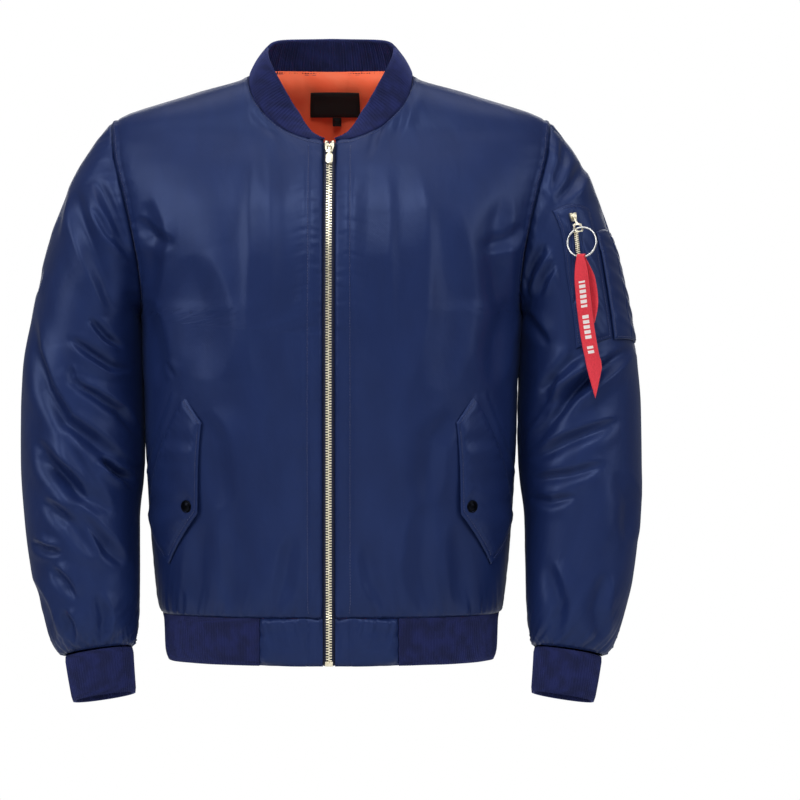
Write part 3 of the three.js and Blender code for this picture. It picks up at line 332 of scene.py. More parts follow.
# Creases placed one by one, by where they are seen from in front or, mirrored, from behind:
# a valley that tapers at its ends, with a round ridge along one side
def creases(x, z, folds):
    total = np.zeros_like(x)
    for fold in folds:
        path = np.array([seenAt(*place) for place in fold["path"]])
        legs = np.diff(path, axis=0)
        sizes = np.hypot(*legs.T)
        starts = np.append(0, np.cumsum(sizes))
        best, along, turned = np.full_like(x, 1e9), np.zeros_like(x), np.zeros_like(x)
        for start, leg, size, run in zip(path, legs, sizes, starts):
            t = np.clip(((x - start[0]) * leg[0] + (z - start[1]) * leg[1]) / size**2, 0, 1)
            dx, dz = x - start[0] - t * leg[0], z - start[1] - t * leg[1]
            off = np.hypot(dx, dz)
            closer = off < best
            best = np.where(closer, off, best)
            along = np.where(closer, (run + t * size) / starts[-1], along)
            turned = np.where(closer, np.sign(leg[0] * dz - leg[1] * dx), turned)
        ends = np.sqrt(fade(along / 0.35 + 0.02) * fade((1 - along) / 0.35 + 0.02))
        width = fold.get("width", 7) * (0.6 + 0.4 * ends)
        ahead = turned * fold.get("side", 1) > 0
        crest = 1 / (1 + ((best - 1.5 * width) / (0.42 * width)) ** 2)
        swell = np.exp(-(((best - 2.1 * width) / (1.3 * width)) ** 2))
        lean = np.where(ahead, 0.42 * crest + 0.36 * swell, 0.3 * swell)
        total += fold.get("depth", 3) * ends * (lean - np.exp(-((best / width) ** 2)))
    return total


# Finishes
def hexColour(text, alpha=1):
    values = [int(text[i:i + 2], 16) / 255 for i in (1, 3, 5)]
    return [v / 12.92 if v <= 0.04045 else ((v + 0.055) / 1.055) ** 2.4 for v in values] + [alpha]


def addNode(tree, kind, settings=None, links=None):
    node = tree.nodes.new(kind)
    for name, value in (settings or {}).items():
        setattr(node, name, value)
    for name, value in (links or {}).items():
        if isinstance(value, tuple) and isinstance(value[0], bpy.types.Node):
            tree.links.new(value[0].outputs[value[1]], node.inputs[name])
        else:
            node.inputs[name].default_value = value
    return node


def newMaterial(name, **sockets):
    material = bpy.data.materials.new(name)
    material.use_nodes = True
    tree = material.node_tree
    shader = next(node for node in tree.nodes if node.type == "BSDF_PRINCIPLED")
    for socket, value in sockets.items():
        shader.inputs[socket.replace("_", " ")].default_value = value
    return material, tree, shader


def ramp(tree, source, low, high, colours):
    node = addNode(tree, "ShaderNodeMapRange", {}, {"Value": source, "From Min": low, "From Max": high})
    return addNode(tree, "ShaderNodeMix", {"data_type": "RGBA"}, {
        0: (node, 0), 6: hexColour(colours[0]), 7: hexColour(colours[1])})


# Satin weave: long floating threads give a broad, soft shine; the padding under it
# leaves slight waves, and a fine weave breaks up the highlights.
def satinNylon(name, colours, shine, roughness=0.42, wave=0.7, specular=0.42):
    material, tree, shader = newMaterial(name, Roughness=roughness, Sheen_Weight=0.03)
    shader.inputs["Sheen Roughness"].default_value = 0.35
    shader.inputs["Specular IOR Level"].default_value = specular
    shader.inputs["Specular Tint"].default_value = hexColour(shine)
    shader.inputs["Sheen Tint"].default_value = hexColour(shine)
    cloth = addNode(tree, "ShaderNodeUVMap", {"uv_map": "cloth"})
    stretch = addNode(tree, "ShaderNodeMapping", {}, {"Vector": (cloth, 0), "Scale": (1, 0.45, 1)})
    waves = addNode(tree, "ShaderNodeTexNoise", {"noise_dimensions": "2D"}, {
        "Vector": (stretch, 0), "Scale": 34, "Detail": 3, "Roughness": 0.45})
    creased = addNode(tree, "ShaderNodeTexNoise", {"noise_dimensions": "2D"}, {
        "Vector": (cloth, 0), "Scale": 190, "Detail": 2, "Roughness": 0.5, "Distortion": 0.6})
    threads = addNode(tree, "ShaderNodeTexWave", {"bands_direction": "DIAGONAL"}, {
        "Vector": (cloth, 0), "Scale": 230, "Distortion": 0.4, "Detail": 1})
    soft = addNode(tree, "ShaderNodeBump", {}, {"Height": (waves, 0), "Distance": wave * mm, "Strength": 1})
    fine = addNode(tree, "ShaderNodeBump", {}, {
        "Height": (creased, 0), "Distance": 0.09 * mm, "Strength": 1, "Normal": (soft, 0)})
    weave = addNode(tree, "ShaderNodeBump", {}, {
        "Height": (threads, 1), "Distance": 0.02 * mm, "Strength": 1, "Normal": (fine, 0)})
    tint = ramp(tree, (waves, 0), 0.3, 0.7, colours)
    tree.links.new(tint.outputs[2], shader.inputs["Base Color"])
    tree.links.new(weave.outputs[0], shader.inputs["Normal"])
    return material


# Rib knit: rows of plain stitches, matt, with a short fuzz that catches light at its edges
def ribKnit(name, colours):
    material, tree, shader = newMaterial(name, Roughness=0.92, Sheen_Weight=0.35)
    shader.inputs["Sheen Roughness"].default_value = 0.5
    shader.inputs["Specular IOR Level"].default_value = 0.25
    shader.inputs["Sheen Tint"].default_value = hexColour("#5c6ac0")
    cloth = addNode(tree, "ShaderNodeUVMap", {"uv_map": "cloth"})
    rows = addNode(tree, "ShaderNodeTexWave", {"bands_direction": "Y"}, {
        "Vector": (cloth, 0), "Scale": 185, "Distortion": 1.5, "Detail": 1, "Detail Scale": 2})
    fuzz = addNode(tree, "ShaderNodeTexNoise", {"noise_dimensions": "2D"}, {
        "Vector": (cloth, 0), "Scale": 900, "Detail": 2})
    patchy = addNode(tree, "ShaderNodeTexNoise", {"noise_dimensions": "2D"}, {
        "Vector": (cloth, 0), "Scale": 60, "Detail": 3})
    loops = addNode(tree, "ShaderNodeBump", {}, {"Height": (rows, 1), "Distance": 0.12 * mm})
    hairs = addNode(tree, "ShaderNodeBump", {}, {
        "Height": (fuzz, 0), "Distance": 0.2 * mm, "Normal": (loops, 0)})
    tint = ramp(tree, (patchy, 0), 0.35, 0.65, colours)
    tree.links.new(tint.outputs[2], shader.inputs["Base Color"])
    tree.links.new(hairs.outputs[0], shader.inputs["Normal"])
    return material


# Cast zinc or drawn wire with thin pale nickel: worn a little, in random patches
def platedMetal(name, colours, roughness=0.3):
    material, tree, shader = newMaterial(name, Metallic=1, Roughness=roughness)
    place = addNode(tree, "ShaderNodeTexCoord")
    worn = addNode(tree, "ShaderNodeTexNoise", {}, {"Vector": (place, 3), "Scale": 300, "Detail": 4})
    tint = ramp(tree, (worn, 0), 0.35, 0.7, colours)
    rough = addNode(tree, "ShaderNodeMapRange", {}, {
        "Value": (worn, 0), "To Min": roughness - 0.08, "To Max": roughness + 0.15})
    scratch = addNode(tree, "ShaderNodeBump", {}, {"Height": (worn, 0), "Distance": 0.05 * mm})
    tree.links.new(tint.outputs[2], shader.inputs["Base Color"])
    tree.links.new(rough.outputs[0], shader.inputs["Roughness"])
    tree.links.new(scratch.outputs[0], shader.inputs["Normal"])
    return material


# Woven tape or label: fine crosswise ribs, matt polyester thread
def wovenTape(name, colours, roughness=0.75, pitch=0.7, sheen=0.2):
    material, tree, shader = newMaterial(name, Roughness=roughness, Sheen_Weight=sheen)
    shader.inputs["Specular IOR Level"].default_value = 0.35
    place = addNode(tree, "ShaderNodeTexCoord")
    ribs = addNode(tree, "ShaderNodeTexWave", {"bands_direction": "Z"}, {
        "Vector": (place, 3), "Scale": 0.314 / (pitch * mm), "Distortion": 0.5})
    lint = addNode(tree, "ShaderNodeTexNoise", {}, {"Vector": (place, 3), "Scale": 700, "Detail": 2})
    relief = addNode(tree, "ShaderNodeBump", {}, {"Height": (ribs, 1), "Distance": 0.1 * mm})
    tint = ramp(tree, (lint, 0), 0.3, 0.7, colours)
    tree.links.new(tint.outputs[2], shader.inputs["Base Color"])
    tree.links.new(relief.outputs[0], shader.inputs["Normal"])
    return material


# Polyester sewing thread: twisted, slightly shiny
def sewingThread(name, colours):
    material, tree, shader = newMaterial(name, Roughness=0.5, Sheen_Weight=0.3)
    place = addNode(tree, "ShaderNodeTexCoord")
    lint = addNode(tree, "ShaderNodeTexNoise", {}, {"Vector": (place, 3), "Scale": 1500, "Detail": 1})
    twist = addNode(tree, "ShaderNodeBump", {}, {"Height": (lint, 0), "Distance": 0.1 * mm})
    tint = ramp(tree, (lint, 0), 0.3, 0.7, colours)
    tree.links.new(tint.outputs[2], shader.inputs["Base Color"])
    tree.links.new(twist.outputs[0], shader.inputs["Normal"])
    return material


streamer = dict(barHalf=3.7, barPitch=5.6, barLength=3.7, groupPitch=36, groupLength=29, barsFrom=106, barsTo=188)


# The streamer: red woven polyester with white bars woven in on one side, between plain edges
def streamerTape(name):
    material = wovenTape(name, ("#c01a2c", "#d5283a"), 0.6, 0.8)
    tree = material.node_tree
    shader = next(node for node in tree.nodes if node.type == "BSDF_PRINCIPLED")
    tint = shader.inputs["Base Color"].links[0].from_node
    cloth = addNode(tree, "ShaderNodeUVMap", {"uv_map": "cloth"})
    split = addNode(tree, "ShaderNodeSeparateXYZ", {}, {"Vector": (cloth, 0)})

    def sums(kind, a, b):
        return addNode(tree, "ShaderNodeMath", {"operation": kind}, {0: a, 1: b})
    beside = sums("COMPARE", (split, 0), 0.0)
    beside.inputs[2].default_value = streamer["barHalf"] * mm
    phase = sums("MODULO", (split, 1), streamer["barPitch"] * mm)
    bar = sums("LESS_THAN", (phase, 0), streamer["barLength"] * mm)
    word = sums("MODULO", (split, 1), streamer["groupPitch"] * mm)
    group = sums("LESS_THAN", (word, 0), streamer["groupLength"] * mm)
    start = sums("GREATER_THAN", (split, 1), streamer["barsFrom"] * mm)
    end = sums("LESS_THAN", (split, 1), streamer["barsTo"] * mm)
    mask = beside
    for other in (bar, group, start, end):
        mask = sums("MULTIPLY", (mask, 0), (other, 0))
    bars = addNode(tree, "ShaderNodeMix", {"data_type": "RGBA"}, {
        0: (mask, 0), 6: (tint, 2), 7: hexColour("#dcd3d0")})
    tree.links.new(bars.outputs[2], shader.inputs["Base Color"])
    return material



finishes = dict(
    shell=satinNylon("satin_nylon_navy", ("#121e44", "#15224a"), "#a3baf2"),
    facing=satinNylon("satin_nylon_dark", ("#0a1026", "#0d142e"), "#a3baf2"),
    lining=satinNylon("satin_nylon_orange", ("#ff6a44", "#ff754f"), "#ffd0b8", 0.5),
    rib=ribKnit("rib_knit_navy", ("#0e1438", "#151c49")),
    metal=platedMetal("nickel_plated_brass", ("#d6cdb2", "#f1ead6"), 0.3),
    steel=platedMetal("nickel_plated_steel", ("#a9a9a8", "#d6d6d2"), 0.24),
    snap=platedMetal("black_enamelled_brass", ("#0b0c10", "#16181f"), 0.34),
    zipTape=wovenTape("woven_zip_tape", ("#0b1130", "#10183c")),
    label=wovenTape("woven_satin_label", ("#020202", "#050506"), 0.6, 0.5, 0.0),
    ribbon=streamerTape("red_woven_streamer"),
    navyThread=sewingThread("navy_polyester_thread", ("#121e4a", "#192860")),
    orangeThread=sewingThread("orange_polyester_thread", ("#d63c16", "#ee4d24")),
)
print("finishes made")


def place(name, mesh, finish, slot, body="jacket", replaces=()):
    obj = bpy.data.objects.new(name, mesh)
    bpy.context.scene.collection.objects.link(obj)
    mesh.materials.append(finishes[finish])
    mesh.polygons.foreach_set("use_smooth", [True] * len(mesh.polygons))
    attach(obj, body)
    if replaces:
        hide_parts(*replaces)
    return obj


# A sheet of cloth from rows of places, in millimetres, with its own cloth map in metres
def clothSheet(name, points, finish, slot, thick, wrapped=False, across=None, rests=(), **keys):
    rows, columns = points.shape[:2]
    spans = spansOf(points)
    across = spans["left"] if across is None else across
    bm = bmesh.new()
    bmesh.ops.create_grid(bm, x_segments=columns - 1, y_segments=rows - 1, size=0.5)
    start = np.array([vertex.co[:2] for vertex in bm.verts]) + 0.5
    column = np.rint(start[:, 0] * (columns - 1)).astype(int)
    row = np.rint(start[:, 1] * (rows - 1)).astype(int)
    for vertex, spot in zip(bm.verts, points[row, column] * mm):
        vertex.co = spot
    cloth = bm.loops.layers.uv.new("cloth")
    flat = np.stack([across[row, column], spans["foot"][row, column]], axis=-1) * mm
    bm.verts.index_update()
    for face in bm.faces:
        for loop in face.loops:
            loop[cloth].uv = flat[loop.vert.index]
    if wrapped:
        edges = [v for v, c in zip(list(bm.verts), column) if c in (0, columns - 1)]
        bmesh.ops.remove_doubles(bm, verts=edges, dist=0.01 * mm)
    mesh = bpy.data.meshes.new(name)
    bm.to_mesh(mesh)
    bm.free()
    obj = place(name, mesh, finish, slot, **keys)
    print("SIZE", name, round(spans["left"].max()), round(spans["foot"].max()),
          round(sum(face.area for face in mesh.polygons), 5))
    wall = obj.modifiers.new("wall", "SOLIDIFY")
    wall.thickness, wall.offset = thick * mm, -1
    return obj


def raised(points, relief, wrapped=False):
    return points + normalsOf(points, wrapped) * relief[..., None]


# Where a line at a given distance from an edge crosses each row, or each column
def traceAt(values, field, distance, axis=1):
    if axis == 0:
        values, field = values.swapaxes(0, 1), field.T
    if field[0, 0] > field[0, -1]:
        values, field = values[:, ::-1], field[:, ::-1]
    return np.array([[np.interp(distance, f, row[:, k]) for k in range(3)] for row, f in zip(values, field)])


# Stitches: short round-ended threads along a line of places
def stitchRow(bm, line, normals, pitch=3.2, long=2.3, radius=0.42, lift=0.15):
    lengths = np.append(0, np.cumsum(np.linalg.norm(np.diff(line, axis=0), axis=1)))
    for middle in np.arange(pitch / 2, lengths[-1], pitch):
        p = np.array([np.interp(middle, lengths, line[:, k]) for k in range(3)])
        q = np.array([np.interp(middle + 0.5, lengths, line[:, k]) for k in range(3)])
        n = unit(np.array([np.interp(middle, lengths, normals[:, k]) for k in range(3)]))
        along = unit(q - p) if middle + 0.5 < lengths[-1] else along
        side = unit(np.cross(n, along))
        turn = Matrix(np.array([along * long / 2, side * radius, np.cross(along, side) * radius]).T.tolist())
        turn.resize_4x4()
        turn.translation = p + n * lift
        bmesh.ops.create_icosphere(bm, subdivisions=1, radius=1, matrix=Matrix.Scale(mm, 4) @ turn)


def stitches(name, lines, finish="navyThread", slot="shell_nylon", **keys):
    bm = bmesh.new()
    for line, normals in lines:
        stitchRow(bm, line, normals, **keys)
    mesh = bpy.data.meshes.new(name)
    bm.to_mesh(mesh)
    bm.free()
    return place(name, mesh, finish, slot)


# Camera and studio
studio = dict(cameraX=0.077, cameraZ=-0.364, away=4.0, view=0.896, floorZ=-1.02, floorRadius=1.5)
camera = bpy.data.objects.new("camera", bpy.data.cameras.new("camera"))
bpy.context.scene.collection.objects.link(camera)
camera.location = (studio["cameraX"], -studio["away"], studio["cameraZ"])
camera.rotation_euler = (math.radians(90), 0, 0)
camera.data.sensor_fit = "HORIZONTAL"
camera.data.angle = 2 * math.atan(studio["view"] / 2 / studio["away"])
camera.data.clip_end = 50
bpy.context.scene.camera = camera

lamps = [
    dict(name="left_softbox", place=(-2.3, -1.9, 1.2), size=(1.6, 2.2), power=58),
    dict(name="right_softbox", place=(2.6, -1.7, 0.9), size=(1.4, 2.2), power=36),
    dict(name="neck_softbox", place=(0.1, -2.2, 1.9), size=(1.0, 0.8), power=36),
    dict(name="front_fill", place=(0.2, -3.4, -0.9), size=(2.8, 1.2), power=13),
    dict(name="top_softbox", place=(0, 0.1, 2.2), size=(2.4, 1.8), power=26),
    dict(name="back_softbox", place=(0, 3.0, 0.8), size=(2.6, 2.0), power=40),
]
for lamp in lamps:
    data = bpy.data.lights.new(lamp["name"], "AREA")
    data.shape, data.size, data.size_y = "RECTANGLE", *lamp["size"]
    data.energy = lamp["power"]
    light = bpy.data.objects.new(lamp["name"], data)
    light.location = lamp["place"]
    aim = Vector((0, 0, -0.35)) - Vector(lamp["place"])
    light.rotation_euler = aim.to_track_quat("-Z", "Y").to_euler()
    bpy.context.scene.collection.objects.link(light)

world = bpy.data.worlds.new("studio_air")
bpy.context.scene.world = world
world.use_nodes = True
air = world.node_tree
air.nodes.clear()
ray = addNode(air, "ShaderNodeLightPath")
seen = addNode(air, "ShaderNodeBackground", {}, {"Color": (1, 1, 1, 1), "Strength": 1})
lighting = addNode(air, "ShaderNodeBackground", {}, {"Color": (0.93, 0.95, 1, 1), "Strength": 0.2})
blend = addNode(air, "ShaderNodeMixShader", {}, {0: (ray, "Is Camera Ray"), 1: (lighting, 0), 2: (seen, 0)})
addNode(air, "ShaderNodeOutputWorld", {}, {"Surface": (blend, 0)})
bpy.context.scene.view_settings.view_transform = "Standard"

bm = bmesh.new()
bmesh.ops.create_circle(bm, cap_ends=True, segments=96, radius=studio["floorRadius"],
                        matrix=Matrix.Translation((0, 0, studio["floorZ"])))
floorMesh = bpy.data.meshes.new("studio_floor")
bm.to_mesh(floorMesh)
bm.free()
floor = bpy.data.objects.new("studio_floor", floorMesh)
bpy.context.scene.collection.objects.link(floor)
paper, paperTree, paperShader = newMaterial("pale_paper", Roughness=0.9)
paperShader.inputs["Base Color"].default_value = hexColour("#ededea")
floorMesh.materials.append(paper)

# Shell panels
fine = dict(front=100, back=156, around=170, down=208)


def evenLevels(low, arm):
    rise = np.linspace(0, 1, arm)
    return np.unique(np.round(np.concatenate([
        np.linspace(0, 10, low, endpoint=False), 10 + 10 * np.arccos(1 - 2 * rise) / np.pi, [17]]), 5))


levels = evenLevels(112, 90)

frontFolds = dict(
    left=[  # the wearer's left, on the right as seen from in front
        dict(path=[(418, 92), (404, 112), (396, 142)], width=5, depth=1.2),
        dict(path=[(392, 112), (376, 138), (370, 165)], width=5, depth=1.0),
        dict(path=[(372, 170), (368, 260), (374, 350)], width=16, depth=2.0),
        dict(path=[(398, 170), (402, 260), (396, 380)], width=20, depth=2.4),
        dict(path=[(436, 210), (446, 300), (436, 390)], width=20, depth=2.2),
        dict(path=[(500, 200), (489, 250), (494, 320)], width=12, depth=2.6),
        dict(path=[(518, 228), (504, 244), (480, 252)], width=7, depth=2.2),
        dict(path=[(506, 300), (492, 340), (489, 386)], width=11, depth=2.4),
        dict(path=[(386, 600), (372, 575), (366, 540)], width=8, depth=1.5),
        dict(path=[(424, 604), (418, 560), (424, 500)], width=12, depth=1.8),
        dict(path=[(462, 604), (458, 560), (452, 520)], width=11, depth=1.8),
        dict(path=[(448, 412), (430, 440), (425, 500)], width=12, depth=2.0),
    ],
    right=[
        dict(path=[(252, 112), (266, 128), (279, 144)], width=5, depth=1.4),
        dict(path=[(264, 112), (280, 130), (296, 138)], width=4, depth=1.0),
        dict(path=[(271, 150), (273, 260), (271, 380)], width=14, depth=2.4, side=-1),
        dict(path=[(244, 170), (246, 260), (252, 330)], width=18, depth=1.8),
        dict(path=[(300, 190), (294, 300), (300, 420)], width=16, depth=1.6),
        dict(path=[(196, 260), (214, 320), (212, 380)], width=20, depth=2.2),
        dict(path=[(150, 205), (160, 240), (156, 300)], width=11, depth=2.6),
        dict(path=[(142, 222), (158, 240), (182, 250)], width=7, depth=2.2),
        dict(path=[(150, 300), (163, 345), (168, 388)], width=11, depth=2.4),
        dict(path=[(172, 363), (178, 370), (182, 378)], width=3, depth=1.4),
        dict(path=[(280, 604), (288, 575), (296, 530)], width=8, depth=1.6),
        dict(path=[(238, 604), (242, 560), (236, 500)], width=12, depth=1.8),
        dict(path=[(206, 604), (204, 565), (210, 520)], width=11, depth=1.8),
        dict(path=[(210, 412), (222, 440), (230, 505)], width=12, depth=2.0),
    ],
)
backFolds = [
    dict(path=[(252, 100), (262, 150), (256, 210)], width=12, depth=1.8),
    dict(path=[(410, 100), (400, 150), (408, 210)], width=12, depth=1.8),
    dict(path=[(331, 86), (327, 150), (333, 230)], width=20, depth=1.4),
    dict(path=[(152, 180), (176, 230), (190, 300)], width=14, depth=3.2),
    dict(path=[(150, 230), (170, 262), (204, 286)], width=9, depth=2.8),
    dict(path=[(510, 180), (484, 234), (474, 302)], width=14, depth=3.2),
    dict(path=[(512, 226), (490, 262), (456, 282)], width=9, depth=2.8),
    dict(path=[(236, 250), (244, 360), (232, 470)], width=24, depth=2.8),
    dict(path=[(300, 290), (292, 400), (302, 520)], width=24, depth=2.6),
    dict(path=[(372, 280), (382, 390), (370, 500)], width=24, depth=2.6),
    dict(path=[(436, 250), (424, 360), (438, 470)], width=24, depth=2.8),
    dict(path=[(196, 604), (204, 560), (198, 500)], width=12, depth=2.2),
    dict(path=[(262, 604), (256, 560), (266, 510)], width=12, depth=2.2),
    dict(path=[(330, 604), (338, 560), (330, 520)], width=12, depth=1.8),
    dict(path=[(400, 604), (408, 556), (398, 506)], width=12, depth=2.2),
    dict(path=[(468, 604), (460, 560), (468, 504)], width=12, depth=2.2),
]


def sideCalm(points, relief):
    return relief * fade(np.abs(points[..., 1]) / 10)


# Tight gathers in the topstitched strip beside the armhole
def armGathers(points, edge, foot, seed):
    strip = fade(edge / 2) * fade((9.5 - edge) / 3) * (points[..., 2] > garment["armpit"] + 12)
    return strip * (0.5 + 0.75 * ripple(foot + 0.5 * edge, 7.5, seed)) - 0.9 * np.exp(-(((edge - 9) / 1.5) ** 2))


def frontRelief(points, folds, seed, zipSide="left"):
    other = "right" if zipSide == "left" else "left"
    spans = spansOf(points)
    fromZip, edge, foot, top = spans[zipSide], spans[other], spans["foot"], spans["top"]
    x, z = points[..., 0], points[..., 2]
    relief = 1.7 * creases(x, z, folds)
    relief = relief * fade(fromZip / 22) * fade(edge / 6) * fade(foot / 5) * fade(top / 8)
    relief = relief + puckers(foot, fromZip, 17, 2.4, 16, seed)
    relief = relief + puckers(edge, foot, 21, 1.1, 12, seed + 1) + armGathers(points, edge, foot, seed + 6)
    relief = relief + puckers(top, fromZip, 19, 0.8, 9, seed + 2)
    relief = relief + puckers(fromZip, foot, 15, 0.7, 9, seed + 3)
    stitched = np.abs(fromZip - 17)
    relief = relief - 0.9 * np.exp(-((stitched / 1.8) ** 2)) + puckers(stitched, foot, 12, 0.7, 7, seed + 4)
    neckStitch = np.abs(top - 6.5)
    relief = relief - 0.8 * np.exp(-((neckStitch / 1.6) ** 2)) + puckers(neckStitch, fromZip, 11, 0.5, 5, seed + 5)
    puff = 1.6 * fade(edge / 26) * fade(foot / 22) * fade(top / 26) * fade(fromZip / 26)
    relief = relief + puff + 0.9 * np.sin(np.pi * np.clip(fromZip / 17, 0, 1)) ** 0.7
    return relief + seamDip(edge) + seamDip(foot, 1.4, 2.2) + seamDip(top, 1.4, 2.2) + seamDip(fromZip, 0.8, 1.6)


def towardArmhole(points, n, distance, sides):
    share = np.exp(-((distance / 6) ** 2))[..., None] * (points[..., 2] > garment["armpit"])[..., None]
    z = points[..., 2]
    facing = np.where((sides < 0)[..., None], armholeFacing(z, -1), armholeFacing(z, 1))
    return unit(n * (1 - share) + facing * share)


def clothSeams(points, relief, distance, side):
    n = normalsOf(points)
    n[..., 1] *= fade(np.abs(points[..., 1]) / 8)
    n = towardArmhole(points, unit(n), distance, np.full(points.shape[:2], side))
    return points + n * relief[..., None]


frontShares = np.unique(np.append(np.linspace(0, 1, fine["front"]), 5 / 12))
frontBase = panelPoints(-1, garment["zipHalf"], frontShares, levels)
backHalf = panelPoints(1, 0, np.unique(np.append(np.linspace(0, 1, fine["back"] // 2), 5 / 12)), levels)
backBase = np.concatenate([backHalf[:, ::-1], backHalf[:, 1:] * [-1, 1, 1]], axis=1)

# The welt behind each flap shows as a low ridge beside the flap's sewn edge
def weltRidge(points, mirror):
    from_, to = seenAt(185, 398), seenAt(157, 470)
    if mirror:
        from_, to = from_ * [-1, 1], to * [-1, 1]
    leg = to - from_
    x, z = points[..., 0] - from_[0], points[..., 2] - from_[1]
    t = (x * leg[0] + z * leg[1]) / (leg @ leg)
    off = np.abs(x * leg[1] - z * leg[0]) / np.hypot(*leg)
    ends = fade((t + 0.06) / 0.06) * fade((1.1 - t) / 0.06)
    return ends * (0.9 * np.exp(-(((off - 5) / 3) ** 2)) - 0.9 * np.exp(-(((off - 10) / 1.6) ** 2)))


leftBase, rightBase = frontBase, mirrored(frontBase)
leftRelief = frontRelief(leftBase, frontFolds["left"], 11) + weltRidge(leftBase, True)
leftShape = clothSeams(leftBase, leftRelief, spansOf(leftBase)["right"], -1)
rightRelief = frontRelief(rightBase, frontFolds["right"], 31, "right") + weltRidge(rightBase, False)
rightShape = clothSeams(rightBase, rightRelief, spansOf(rightBase)["left"], -1)
frontKeys = dict(flat=(0.335, 0.585), area=0.157)
frontLeft = clothSheet("front_left_cloth", leftShape, "shell", "shell_nylon", garment["shell"], replaces=["front_left"])
frontRight = clothSheet("front_right_cloth", rightShape, "shell", "shell_nylon", garment["shell"], replaces=["front_right"])


def backRelief(points, seed):
    spans = spansOf(points)
    edge = np.minimum(spans["left"], spans["right"])
    foot, top, left = spans["foot"], spans["top"], spans["left"]
    x, z = points[..., 0], points[..., 2]
    relief = 2.1 * creases(-x, z, backFolds) * fade(edge / 6) * fade(foot / 5) * fade(top / 8)
    relief = relief + puckers(foot, left, 17, 1.8, 14, seed) + puckers(edge, foot, 21, 1.2, 12, seed + 1)
    relief = relief + puckers(top, left, 19, 0.8, 9, seed + 2)
    neckStitch = np.abs(top - 6.5)
    relief = relief - 0.8 * np.exp(-((neckStitch / 1.6) ** 2))
    relief = relief + 1.8 * fade(edge / 26) * fade(foot / 22) * fade(top / 26)
    return relief + seamDip(edge) + seamDip(foot, 1.4, 2.2) + seamDip(top, 1.4, 2.2)


backEdge = np.minimum(spansOf(backBase)["left"], spansOf(backBase)["right"])
backShape = clothSeams(backBase, backRelief(backBase, 51), backEdge, 1)
backCloth = clothSheet("back_cloth", backShape, "shell", "shell_nylon", garment["shell"], replaces=["back"])
print("shell panels made")

